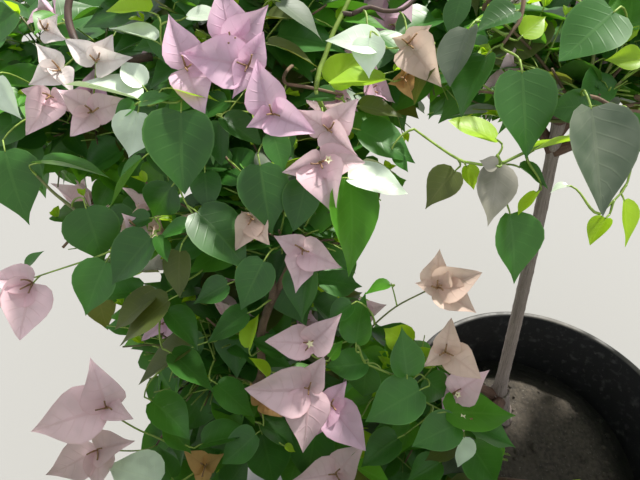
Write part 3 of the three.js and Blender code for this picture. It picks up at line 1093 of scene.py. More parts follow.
@dataclass
class Mass:
    """One mass of leaves: the source's stem and main shoots, carried on to side twigs, leaves and blossom."""

    limb: Limb
    order: int
    space: Space
    crowd: Crowd
    view: View
    kinds: Kinds
    growth: Growth = Growth()
    blossom: Blossom = Blossom(Growth())
    twigs: list[Route] = field(default_factory=list)

    def grow_stem(self) -> None:
        """Carry the bough on to the middle of the mass."""
        out = self.limb.route.way(1.0)
        foot = self.limb.tip + out * STEM_GAP
        bend = foot + out * np.linalg.norm(foot - self.space.centre) / 2
        self.stem = bezier(foot, bend, self.space.centre)
        thick = self.limb.row.radii[1] * MM
        shown = self.view.clip(self.stem)
        if shown:
            Tubes.add(self.kinds.twigs, shown, (thick, thick * 0.7, thick * 0.45), 8, 10, Twig.BROWN.value)
            self.twigs.append(shown)

    def grow_shoot(
        self, index: int, count: int, seed: int, span: tuple[float, float], blossoms: float
    ) -> None:
        """Grow one shoot from the stem, by the source's rule.

        Args:
            index: Which of the evenly spread shoots it is.
            count: How many there are.
            seed: Where its draws come from.
            span: The least and most that it reaches, as shares of the mass's reach.
            blossoms: The share of such shoots that end in blossom.
        """
        draw = seeded(seed)
        height = 1 - (2 * index + 1) / count
        turn = index * GOLDEN_ANGLE + self.order
        ring = math.sqrt(1 - height**2)
        way = np.array([ring * math.cos(turn), ring * math.sin(turn), height])
        reach = self.space.reach * mix(span, draw())
        tip = self.space.pull_in(self.space.centre + way * reach)
        foot = self.stem.at(mix(SHOOT_FEET, draw()))
        arch = np.array([mix(limits, draw()) for limits in SHOOT_ARCH])
        lowest, thinned = self.growth.underside
        if self.space.overlap and height < lowest:
            arch[2] *= -1
            if draw() < thinned:
                return
        shoot = bent(foot, tip, arch * np.linalg.norm(foot - tip))
        if not self.space.allows(shoot.at(np.linspace(0.35, 1, 5)), self.growth.shoot_radii[0]):
            return
        shoot = self.view.clip(shoot)
        if shoot is None:
            return
        # Shoots that point down take more painted shade
        tint = dealt(LEAF_DEAL if height > -0.1 else SHADED_LOW_LEAF_DEAL, draw())
        bark = Twig.OLIVE if draw() < 0.6 else Twig.BROWN
        self.add_twig(shoot, self.growth.shoot_radii, bark.value, 6)
        self.dress(shoot, draw, tint, draw() < blossoms)
        for share in self.growth.side_twigs:
            self.grow_side(shoot, share, draw, tint)

    def grow_side(self, shoot: Route, share: float, draw: Draw, tint: int) -> None:
        """Grow one side twig from a shoot.

        Args:
            shoot: The shoot.
            share: How far along it the twig starts.
            draw: Where its way and size come from.
            tint: The number of the shoot's own leaf tint.
        """
        turn = draw() * FULL_TURN
        side = np.array([math.cos(turn), math.sin(turn), 0.5 * math.sin(2 * turn)])
        way = unit(shoot.way(share) * 0.55 + side + UP * 0.15)
        tint = dealt(SIDE_LEAF_DEAL, draw()) if draw() < OWN_TINT else tint
        self.grow_twig(shoot.at(share), way * mix(self.growth.side_reach, draw()), draw, tint)

    def grow_twig(self, foot: np.ndarray, span: np.ndarray, draw: Draw, tint: int) -> None:
        """Grow one leafy twig from its foot, where there is room.

        Args:
            foot: Where it starts.
            span: From its foot to its tip.
            draw: Where its leaves come from.
            tint: The number of their tint.
        """
        twig = bent(foot, foot + span, UP * np.linalg.norm(span) * 0.1)
        if not self.space.allows(twig.at(np.linspace(0.4, 1, 3)), self.growth.side_radii[0]):
            return
        twig = self.view.clip(twig)
        if twig is None:
            return
        self.add_twig(twig, self.growth.side_radii, Twig.GREEN.value, 4)
        self.dress(twig, draw, tint, draw() < self.growth.side_blossoms)

    def grow_on(self, limb: Limb, first: float) -> None:
        """Grow leafy twigs on the outer part of a limb, on past the first share of its length.

        Args:
            limb: The limb.
            first: The share of its length past which it is leafy.
        """
        draw = seeded(GROWTH_SEED + len(self.twigs))
        growth = self.growth
        self.space.overlap = self.space.furthest = WIDE_OPEN
        count = round(limb.route.length * (1 - first) / growth.limb_twig_gap)
        for k in range(count):
            share = mix((first, 0.99), (k + draw()) / count)
            along = limb.route.way(share)
            level = unit(np.cross(along, UP))
            turn = k * GOLDEN_ANGLE
            side = level * math.cos(turn) + np.cross(level, along) * math.sin(turn)
            way = unit(along * 0.6 + side + UP * 0.4)
            tint = dealt(SIDE_LEAF_DEAL, draw())
            self.grow_twig(limb.route.at(share), way * mix(growth.limb_twigs, draw()), draw, tint)

    def add_twig(self, route: Route, radii: Sequence[float], tint: int, rings: int) -> None:
        """Join a twig."""
        self.twigs.append(route)
        Tubes.add(self.kinds.twigs, route, radii, 5, rings, tint)

    def dress(self, twig: Route, draw: Draw, tint: int, blossoms: bool) -> None:
        """Set leaves in a spiral along a twig, and perhaps blossom at its tip.

        Args:
            twig: Its line.
            draw: Where the leaves come from.
            tint: The number of their tint.
            blossoms: Whether it ends in blossom.
        """
        growth = self.growth
        leafy = twig.length * (growth.node_range[1] - growth.node_range[0])
        nodes = max(2, round(leafy / growth.node_spacing))
        turn = draw() * FULL_TURN
        if blossoms:
            self.add_blossoms(twig, turn, draw)
        for k in range(nodes + 1):
            share = mix(growth.node_range, k / nodes)
            root = twig.at(share)
            along = twig.way(share)
            turn += GOLDEN_ANGLE + mix((-0.3, 0.3), draw())
            self.add_leaf(root, along, turn, 0.3 if k == nodes else 1.0, tint, draw)
        if not blossoms:
            self.add_buds(twig, turn, draw)

    def add_buds(self, twig: Route, turn: float, draw: Draw) -> None:
        """Set two small new leaves at a twig's tip.

        Args:
            twig: Its line.
            turn: How far round it they are set.
            draw: Where their sizes come from.
        """
        tip = twig.at(1.0)
        along = twig.way(1.0)
        blades = []
        for side in (1, -1):
            sideways = np.array([math.cos(turn), math.sin(turn), 0.0]) * side
            length = mix(self.growth.bud_length, draw())
            way = along + sideways * 0.6 + UP * 0.3
            blades.append(Blade(tip, way, UP + along * 0.2, length, length * 0.6))
        outline = np.vstack([blade.outline() for blade in blades])
        # Buds take LIT: their own young yellow-green, which is also the painted sunlit tint
        if draw() < 0.6 and self.space.allows(outline, 0.0) and not self.view.blocked(outline):
            for blade in blades:
                blade.add_to(self.kinds.leaves, BUD_FORM, Leaf.LIT.value, draw)

    def room_for(self, blades: Sequence[Blade]) -> bool:
        """Tell whether there is room for blades that are set together, and keep it if so.

        Args:
            blades: The leaves or bracts.

        Returns:
            True where there is room for them all.
        """
        middles = np.array([blade.middle() for blade in blades])
        if any(self.crowd.near(middle) for middle in middles):
            return False
        outline = np.vstack([blade.outline() for blade in blades])
        if not self.space.allows(outline, 0.0) or self.view.blocked(outline):
            return False
        for middle in middles:
            self.crowd.add(middle)
        return True

    def add_leaf(
        self, root: np.ndarray, along: np.ndarray, turn: float, lean: float, tint: int, draw: Draw
    ) -> None:
        """Set one leaf on its petiole, by the source's rule.

        Args:
            root: Where its petiole starts.
            along: The way that the twig runs there.
            turn: How far round the twig it is set.
            lean: How far it leans out from the twig.
            tint: The number of its tint.
            draw: Where its size and droop come from.
        """
        outward = unit(root - self.space.centre) * LEVELLED
        side = np.array([math.cos(turn), math.sin(turn), 0.0])
        droop = mix((0.02, 0.55), draw())
        way = unit(along * LEVELLED * 0.55 + side * lean + outward * 0.3 - UP * droop)
        sway = np.array([math.cos(3 * turn), math.sin(3 * turn), 0.0])
        facing = sway * 0.35 + UP + outward * 0.45
        length = mix(self.growth.leaf_length, draw() ** 0.8 if lean == 1.0 else draw() ** 2)
        width = length * mix(self.growth.leaf_width, draw())
        stalk = length * self.growth.petiole
        start = root + unit(along * 0.4 + side * lean + outward * 0.4 + UP * 0.25) * stalk
        blade = Blade(start, way, facing, length, width)
        if not self.room_for([blade]):
            return
        blade.add_to(self.kinds.leaves, LEAF_FORM, tint, draw)
        petiole = bezier(root, start - way * stalk * 0.3, start + blade.along * 0.001)
        radius = self.growth.petiole_radius
        Tubes.add(self.kinds.twigs, petiole, (radius * 1.3, radius), 3, 4, Twig.GREEN.value)

    def add_blossoms(self, twig: Route, turn: float, draw: Draw) -> None:
        """Set clusters of bracts at a twig's tip and, on short stalks, a little way back from it.

        Args:
            twig: Its line.
            turn: How far round it the first is set.
            draw: Where their sizes come from.
        """
        tint = dealt(BRACT_DEAL, draw())
        for order, share in enumerate(self.growth.blossom_shares):
            root = twig.at(share)
            along = unit(twig.way(share) + UP * 0.3)
            if order:
                spin = turn + order * GOLDEN_ANGLE
                along = unit(along * 0.6 + np.array([math.cos(spin), math.sin(spin), 0.35]))
            end = root + along * mix(self.growth.blossom_stalk, draw())
            blades = self.blossom.blades(end, along, turn, draw)
            if self.room_for(blades):
                stalk = bent(root, end, UP * 0.002)
                Tubes.add(self.kinds.twigs, stalk, (0.8 * MM, 1.1 * MM), 5, 4, Twig.GREEN.value)
                self.blossom.dress(self.kinds, end, along, blades, tint, draw)

    def grow(self) -> None:
        """Grow the whole mass."""
        self.grow_stem()
        count = round(self.limb.row.mass.reach * SHOOTS_PER_REACH)
        base = (GROWTH_SEED * SEEDS_PER_STEP + self.order) * SEEDS_PER_STEP
        for index in range(count):
            self.grow_shoot(index, count, base + index, SHOOT_REACH, float(index % BLOSSOM_EVERY == 0))
        self.space.overlap = self.growth.fine_overlap
        growth = self.growth
        fine = count * growth.fine_shoots
        for index in range(fine):
            seed = base + SEEDS_PER_STEP**3 + index
            self.grow_shoot(index, fine, seed, growth.fine_reach, growth.fine_blossoms)
        self.grow_on(self.limb, LEAFY_FROM)
        if self.limb.parent.row.name in BARE_LIMBS:
            self.grow_on(self.limb.parent, BARE_LIMBS[self.limb.parent.row.name])
        self.kinds.nodes.append(self.limb.row.mass.name)


# Sprigs that show closest in the photograph


@dataclass(frozen=True)
class LeafSpot:
    """A leaf in the photograph: the pixels of its base and tip, its width in pixels, and its tint."""

    base: Pixel
    tip: Pixel
    width: float
    tint: Leaf = Leaf.SHADE
    nearer: float = 0.0


@dataclass(frozen=True)
class BlossomSpot:
    """A cluster in the photograph: the pixel of its middle, those of its bracts' tips, and its tint."""

    middle: Pixel
    tips: tuple[Pixel, ...]
    tint: Bract = Bract.PINK
    nearer: float = 0.02
    star: bool = False


@dataclass(frozen=True)
class TwigSpot:
    """A twig in the photograph: pixels along it, its radii in millimetres at both ends, and its tint."""

    name: str
    route: tuple[Pixel, ...]
    radii: tuple[float, float]
    tint: Twig = Twig.GREEN
    nearer: float = 0.0


TWIG_SPOTS = (
    TwigSpot("cane at the upper left", ((94, 65), (81, 52), (72, 33), (68, 16), (70, -4), (80, -30)),
             (4.2, 3.4), Twig.DARK),
    TwigSpot("shoot at the left", ((90, 222), (73, 208), (54, 193), (37, 176)),
             (2.0, 1.4), Twig.OLIVE, -0.012),
    TwigSpot("thin shoot at the left", ((124, 244), (99, 256), (48, 273), (24, 281)),
             (1.1, 0.8), Twig.GREEN),
    TwigSpot("green shoot at the top", ((316, 90), (319, 71), (326, 54), (333, 33), (349, 0), (358, -25)),
             (2.6, 2.0), Twig.GREEN),
    TwigSpot("brown twig at the top", ((286, 84), (312, 88), (343, 95)), (1.8, 1.4), Twig.BROWN),
    TwigSpot("curved cane at the top", ((352, 14), (369, 7), (384, 11), (403, 9), (418, -4)),
             (2.4, 1.8), Twig.DARK),
    TwigSpot("brown twig at the right", ((650, 113), (620, 110), (597, 98), (584, 96)),
             (2.2, 1.5), Twig.BROWN),
    TwigSpot("forked twig at the upper right", ((526, -20), (521, 17), (512, 31), (503, 44)),
             (2.0, 1.4), Twig.BROWN),
    TwigSpot("shoot at the lower middle", ((356, 343), (376, 323), (397, 306), (424, 292)),
             (1.1, 0.8), Twig.OLIVE),
    TwigSpot("its fork", ((397, 306), (394, 293), (391, 283)), (0.8, 0.6), Twig.GREEN),
    TwigSpot("yellow-green fork at the lower left",
             ((176, 447), (158, 438), (141, 431), (128, 424), (112, 414)), (1.2, 0.9), Twig.GREEN),
    TwigSpot("shoot at the lower right", ((366, 364), (400, 379), (421, 399), (446, 413)),
             (1.4, 1.0), Twig.GREEN),
    TwigSpot("its second joint", ((446, 413), (456, 426), (466, 440)), (1.0, 0.8), Twig.GREEN),
    TwigSpot("shoot over the gap",
             ((606, 112), (572, 135), (532, 149), (502, 163), (467, 163), (442, 149), (414, 129)),
             (1.5, 1.1), Twig.GREEN),
    TwigSpot("hanging shoot at the right", ((640, 108), (634, 150), (626, 186), (610, 204), (600, 214)),
             (1.1, 0.8)),
    TwigSpot("cut cane", ((262, 372), (261, 334), (271, 303), (279, 287), (292, 262), (300, 235)),
             (4.8, 4.0), Twig.BROWN, -0.025),
    TwigSpot("its stub", ((272, 300), (273, 291), (272, 281)), (4.0, 3.8), Twig.BROWN, -0.018),
)

BLOSSOM_SPOTS = (
    BlossomSpot((107, 408), ((41, 426), (91, 362), (132, 418)), Bract.PINK),
    BlossomSpot((97, 450), ((134, 440), (53, 474), (100, 486)), Bract.PINK),
    BlossomSpot((33, 283), ((-6, 276), (16, 336), (-2, 305)), Bract.PINK),
    BlossomSpot((186, 68), ((169, 20), (205, 112), (214, 58)), Bract.MAUVE),
    BlossomSpot((231, 44), ((222, -8), (266, 10), (222, 48)), Bract.MAUVE),
    BlossomSpot((248, 66), ((186, 54), (236, 96), (262, 34)), Bract.MAUVE),
    BlossomSpot((272, 114), ((254, 66), (312, 132), (247, 128)), Bract.MAUVE),
    BlossomSpot((328, 130), ((300, 112), (356, 102), (353, 158)), Bract.PINK),
    BlossomSpot((320, 162), ((283, 174), (336, 215), (362, 159)), Bract.PINK),
    BlossomSpot((252, 218), ((238, 248), (266, 246), (240, 212)), Bract.PEACH, 0.0),
    BlossomSpot((303, 250), ((340, 267), (298, 290), (276, 236)), Bract.PINK, 0.0),
    BlossomSpot((310, 344), ((341, 319), (268, 340), (300, 360)), Bract.PINK, star=True),
    BlossomSpot((309, 388), ((250, 395), (305, 446), (321, 356)), Bract.PINK),
    BlossomSpot((331, 405), ((363, 446), (344, 380), (316, 432)), Bract.MAUVE),
    BlossomSpot((336, 474), ((296, 480), (360, 446), (350, 500)), Bract.PINK),
    BlossomSpot((437, 288), ((479, 273), (439, 249), (416, 284), (473, 310)), Bract.PEACH),
    BlossomSpot((445, 352), ((451, 321), (480, 374), (424, 366)), Bract.PEACH, 0.0),
    BlossomSpot((453, 394), ((489, 372), (462, 388), (470, 400)), Bract.PINK, 0.0),
    BlossomSpot((466, 421), ((456, 412), (477, 418), (462, 432)), Bract.PINK, 0.02),
    BlossomSpot((96, 62), ((70, 40), (128, 60), (112, 36)), Bract.PALE),
    BlossomSpot((60, 70), ((38, 46), (70, 92), (30, 84)), Bract.PALE),
    BlossomSpot((92, 112), ((60, 92), (124, 100), (72, 136)), Bract.PINK),
    BlossomSpot((45, 30), ((38, 18), (66, 40), (58, 14)), Bract.PALE),
    BlossomSpot((50, 96), ((30, 132), (66, 108), (24, 92)), Bract.PINK, 0.0),
    BlossomSpot((408, 44), ((440, 82), (428, 24), (392, 36)), Bract.PEACH),
    BlossomSpot((404, 78), ((388, 84), (412, 98), (420, 64)), Bract.TAN, 0.0),
    BlossomSpot((262, 402), ((250, 384), (282, 416), (276, 386)), Bract.TAN, -0.01),
    BlossomSpot((205, 466), ((184, 452), (222, 456), (200, 488)), Bract.TAN, -0.01),
    BlossomSpot((136, 228), ((123, 214), (150, 240), (124, 238)), Bract.PINK, -0.01),
)

# LIT rows are leaves painted sunlit yellow-green, as where light comes through from behind
# PALE rows are leaves painted near white, a painted highlight of sun glare
LEAF_SPOTS = tuple(itertools.starmap(LeafSpot, (
    # Upper left
    ((5, 151), (23, 225), 56, SHADE), ((40, 163), (109, 169), 15, MID), ((86, 208), (104, 265), 54, SHADE),
    ((106, 262), (82, 316), 40, MID), ((151, 237), (109, 285), 40, SHADE),
    ((181, 112), (180, 194), 68, SHADE, 0.02), ((138, 112), (130, 158), 44, PALE, 0.03),
    ((137, 99), (64, 78), 22, PALE, 0.02), ((143, 86), (119, 59), 26, PALE, 0.01),
    ((135, 105), (112, 118), 13, MID, 0.03), ((140, 102), (176, 94), 15, MID, 0.03),
    ((170, 88), (219, 97), 9, LIT, 0.02), ((220, 121), (218, 165), 22, SHADE),
    ((142, 159), (106, 210), 9, MID), ((172, 186), (148, 219), 40, SHADE, -0.01),
    ((197, 212), (253, 266), 50, SHADE), ((-2, 80), (16, 120), 26, PALE), ((155, 41), (107, 27), 13, PALE),
    ((150, 12), (104, 6), 14, LIT), ((160, 28), (162, 64), 20, MID, -0.01),
    ((187, 17), (225, 11), 11, PALE), ((150, 218), (124, 222), 18, SHADE, -0.01),
    ((190, 226), (157, 238), 18, MID),
    # Top and middle
    ((280, 2), (327, 35), 22, DUSTY, 0.01), ((379, 45), (326, 37), 27, PALE, 0.028),
    ((370, 37), (366, 78), 34, PALE, 0.032), ((378, 35), (420, 61), 15, MID, 0.01),
    ((267, 43), (321, 61), 14, OLIVE, 0.01), ((385, 79), (328, 81), 12, LIT, 0.01),
    ((335, 98), (304, 95), 15, SHADE), ((330, 84), (362, 50), 36, LIT, -0.01),
    ((359, 106), (404, 115), 18, OLIVE), ((360, 130), (419, 158), 34, MID),
    ((348, 178), (410, 190), 26, PALE, 0.02), ((273, 134), (284, 172), 28, MID),
    ((223, 118), (261, 146), 24, SHADE), ((260, 165), (271, 236), 54, SHADE, 0.01),
    ((306, 182), (295, 232), 38, SHADE), ((350, 180), (357, 277), 52, FRESH, 0.01),
    ((358, 180), (375, 214), 20, OLIVE, -0.01), ((394, 155), (410, 171), 12, MID),
    ((205, 172), (208, 212), 32, SHADE, -0.01),
    # Upper right, near the camera
    ((614, 12), (561, 60), 62, MID, 0.02), ((516, 11), (472, 31), 28, SHADE),
    ((461, -2), (450, 36), 26, SHADE), ((469, 29), (446, 86), 30, DUSTY, 0.01),
    ((430, 50), (410, 102), 30, OLIVE), ((486, 56), (456, 114), 34, SHADE),
    ((522, 72), (527, 158), 60, SHADE, 0.02), ((590, 106), (545, 108), 34, SHADE),
    ((591, 108), (602, 217), 62, DUSTY, 0.03), ((626, 115), (625, 171), 44, MID, 0.01),
    ((496, 139), (449, 119), 14, LIT), ((533, 151), (580, 135), 7, LIT),
    ((498, 165), (490, 227), 40, CAKED, 0.01), ((497, 166), (480, 161), 16, CAKED, 0.02),
    ((519, 167), (549, 188), 10, SHADE), ((455, 171), (423, 206), 34, OLIVE),
    ((466, 166), (474, 190), 16, LIT), ((537, 192), (517, 214), 9, LIT),
    ((510, 214), (519, 285), 42, MID, -0.01), ((568, 186), (549, 191), 8, PALE),
    ((606, 218), (588, 244), 20, LIT), ((624, 200), (630, 247), 14, LIT),
    ((522, 36), (548, 14), 26, LIT, -0.01), ((640, 60), (606, 58), 22, LIT),
    # Lower left
    ((26, 266), (44, 251), 10, MID), ((156, 296), (110, 326), 20, OLIVE),
    ((169, 300), (115, 345), 34, OLIVE, 0.01), ((191, 348), (137, 386), 28, OLIVE),
    ((167, 311), (202, 348), 27, SHADE, 0.01), ((171, 353), (216, 391), 31, SHADE, 0.02),
    ((180, 251), (176, 298), 28, OLIVE), ((157, 236), (168, 262), 14, SHADE, 0.01),
    ((228, 284), (192, 303), 28, SHADE, 0.01), ((152, 401), (195, 434), 34, MID),
    ((167, 424), (193, 454), 26, MID, -0.01), ((160, 482), (104, 464), 48, PALE, 0.02),
    ((172, 478), (156, 448), 26, SHADE),
    # Lower middle
    ((264, 261), (238, 310), 40, SHADE, 0.01), ((311, 266), (295, 321), 34, SHADE),
    ((248, 313), (205, 341), 26, SHADE, 0.01), ((249, 348), (255, 313), 13, LIT, 0.02),
    ((267, 377), (250, 355), 10, LIT, 0.02), ((284, 352), (250, 340), 24, SHADE),
    ((356, 343), (363, 292), 34, MID, 0.01), ((352, 304), (326, 324), 22, SHADE),
    ((367, 363), (322, 368), 30, MID), ((330, 358), (343, 340), 14, FRESH, 0.01),
    ((367, 366), (361, 402), 34, SHADE), ((217, 384), (255, 419), 30, MID),
    ((202, 444), (254, 431), 26, MID), ((256, 434), (222, 466), 30, MID, 0.01),
    ((262, 434), (276, 490), 44, SHADE), ((316, 424), (306, 486), 46, SHADE, -0.012),
    ((354, 426), (326, 464), 34, MID, -0.014), ((226, 488), (250, 456), 30, SHADE, -0.012),
    ((300, 452), (286, 492), 30, MID, -0.016), ((262, 424), (298, 446), 22, SHADE),
    ((285, 446), (296, 452), 8, LIT, 0.02), ((358, 468), (392, 482), 17, FRESH, 0.01),
    # Lower right
    ((407, 375), (401, 327), 34, MID, 0.01), ((420, 390), (364, 421), 46, MID, 0.02),
    ((398, 438), (359, 464), 32, SHADE, 0.01), ((390, 285), (363, 293), 13, FRESH),
    ((446, 412), (518, 414), 42, FRESH, 0.02), ((468, 426), (518, 444), 28, MID, 0.02),
    ((458, 424), (410, 444), 38, MID, 0.03), ((425, 378), (450, 402), 34, SHADE),
    ((470, 443), (500, 490), 44, MID, 0.01), ((464, 437), (458, 469), 17, PALE, 0.03),
    ((457, 445), (424, 460), 20, OLIVE), ((440, 462), (405, 482), 30, MID),
)))


@dataclass
class Sprigs:
    """The twigs, leaves and blossom that stand closest to the photograph's camera."""

    sight: Sight
    kinds: Kinds
    twigs: Sequence[Route]
    growth: Growth = Growth()
    blossom: Blossom = Blossom(Growth())
    leaf_aspect: float = 0.74  # width over length, seen face on
    broad_aspect: float = 0.88  # that of the broadest leaves; what looks broader still is foreshortened
    tilt: float = 0.15  # how far a leaf that is seen face on still leans
    bract_aspect: float = 0.84
    cupping: float = 0.42  # how steeply bracts rise from their foot before they bend out
    twig_radii: tuple[float, float] = (1.3 * MM, 0.8 * MM)
    tube_length: float = 0.019

    def __post_init__(self) -> None:
        """Sample the network of twigs that the sprigs join."""
        shares = np.linspace(0.2, 1, 9)
        self.places = np.vstack([twig.at(shares) for twig in self.twigs])
        self.ways = np.vstack([np.array([twig.way(share) for share in shares]) for twig in self.twigs])
        self.draw = seeded(GROWTH_SEED)

    def at(self, pixel: Pixel, nearer: float) -> np.ndarray:
        """Give the place of a pixel on the crown's near side."""
        return self.sight.at(*pixel, self.sight.crown_depth(*pixel) - nearer)

    def know(self, route: Route) -> None:
        """Add a twig to the network.

        Args:
            route: Its line.
        """
        shares = np.linspace(0.15, 1, 6)
        self.places = np.vstack([self.places, route.at(shares)])
        self.ways = np.vstack([self.ways, np.array([route.way(share) for share in shares])])

    def join(self, place: np.ndarray, along: np.ndarray, radii: Sequence[float], tint: int) -> None:
        """Grow a twig from the nearest one behind to a place, arriving along a given way.

        Args:
            place: Where it ends.
            along: The way that it arrives.
            radii: Its radius at its foot and at its end.
            tint: The number of its tint.
        """
        gaps = np.linalg.norm(self.places - place, axis=1)
        depth = self.sight.pixels(self.places)[:, 2]
        nearer = depth < self.sight.pixels(place[None])[0, 2] - 0.01
        ahead = ((self.places - place) @ unit(along)) / np.maximum(gaps, 1e-6)
        gaps = gaps * (1 + 1.2 * np.maximum(ahead, 0)) + np.where(nearer, 0.05, 0)
        nearest = int(np.argmin(gaps))
        foot = self.places[nearest]
        span = float(np.linalg.norm(place - foot))
        if span < 0.002:
            return
        t = np.linspace(0, 1, 17)[:, None]
        straight = (place - foot) / span
        first = foot + unit(self.ways[nearest] + straight) * span * 0.3
        second = place - unit(unit(along) + straight * 1.3) * span * 0.35
        line = (1 - t) ** 3 * foot + 3 * t * (1 - t) ** 2 * first + 3 * t**2 * (1 - t) * second + t**3 * place
        route = Route(line)
        Tubes.add(self.kinds.twigs, route, radii, 5, 8, tint)
        self.know(route)

    def add_twig(self, spot: TwigSpot) -> None:
        """Set one twig along its pixels.

        Args:
            spot: What the photograph shows of it.
        """
        line = [self.at(pixel, spot.nearer) for pixel in spot.route]
        route = smooth(line)
        radii = (spot.radii[0] * MM, spot.radii[1] * MM)
        self.join(line[0], line[1] - line[0], (radii[0] * 1.1, radii[0]), spot.tint.value)
        Tubes.add(self.kinds.twigs, route, radii, 7, 12, spot.tint.value)
        self.know(route)

    def add_leaf(self, spot: LeafSpot) -> None:
        """Set one leaf so that it covers its pixels, turned or foreshortened as its width tells.

        Args:
            spot: What the photograph shows of it.
        """
        base = self.at(spot.base, spot.nearer)
        depth = self.sight.pixels(base[None])[0, 2]
        tip = self.sight.at(*spot.tip, depth)
        shown = float(np.linalg.norm(tip - base))
        width = spot.width * depth / self.sight.focal
        toward = unit(np.array(self.sight.place) - (base + tip) / 2)
        length = shown
        tilt = self.tilt
        if width > self.broad_aspect * shown:
            length = width / self.broad_aspect
            tip = tip - toward * math.sqrt(length**2 - shown**2)
        elif width <= self.leaf_aspect * shown:
            width, narrow = self.leaf_aspect * length, width
            tilt = math.acos(max(narrow / width, 0.12))
        along = unit(tip - base)
        across = unit(np.cross(along, toward))
        square = np.cross(across, along)
        sides = [square * math.cos(tilt) + across * math.sin(tilt) * sign for sign in (-1, 1)]
        facing = max(sides, key=lambda side: side[2])
        blade = Blade(base, along, facing, length, width)
        stalk = base - along * length * 0.16 - blade.facing * length * 0.05
        self.join(stalk, along, self.twig_radii, Twig.GREEN.value)
        petiole = bezier(stalk, base - along * length * 0.05, base + along * 0.001)
        radius = self.growth.petiole_radius * 1.3
        Tubes.add(self.kinds.twigs, petiole, (radius * 1.3, radius), 5, 5, Twig.GREEN.value)
        blade.add_to(self.kinds.leaves, NEAR_LEAF_FORM, spot.tint.value, self.draw)

    def add_blossom(self, spot: BlossomSpot) -> None:
        """Set one cluster so that its bracts point at their pixels.

        Args:
            spot: What the photograph shows of it.
        """
        middle = self.at(spot.middle, spot.nearer)
        depth = self.sight.pixels(middle[None])[0, 2]
        toward = unit(np.array(self.sight.place) - middle)
        stalk = middle - toward * 0.012
        blades = []
        for tip_pixel in spot.tips:
            tip = self.sight.at(*tip_pixel, depth - 0.006)
            span = tip - middle
            shown = float(np.linalg.norm(span))
            way = unit(span + toward * shown * self.cupping)
            length = shown * math.sqrt(1 + self.cupping**2) * 0.96
            facing = toward - unit(span) * self.cupping + 0.5 * (self.draw() - 0.5) * np.cross(way, toward)
            blades.append(Blade(middle - toward * 0.004, way, facing, length, shown * self.bract_aspect))
        self.join(stalk, toward, (1.0 * MM, 0.8 * MM), Twig.GREEN.value)
        stem = Route(np.array([stalk, middle]))
        Tubes.add(self.kinds.twigs, stem, (0.8 * MM, 1.3 * MM), 5, 3, Twig.GREEN.value)
        self.blossom.dress(self.kinds, middle, unit(toward + UP * 0.2), blades, spot.tint.value, self.draw)
        if spot.star:
            self.blossom.star(self.kinds.flowers, middle + toward * self.tube_length, toward)

    def grow(self) -> None:
        """Set every twig, then every cluster, then every leaf."""
        for spot in TWIG_SPOTS:
            LOG.info("twig: %s", spot.name)
            self.add_twig(spot)
        for spot in BLOSSOM_SPOTS:
            self.add_blossom(spot)
        for spot in LEAF_SPOTS:
            self.add_leaf(spot)


# Finishes


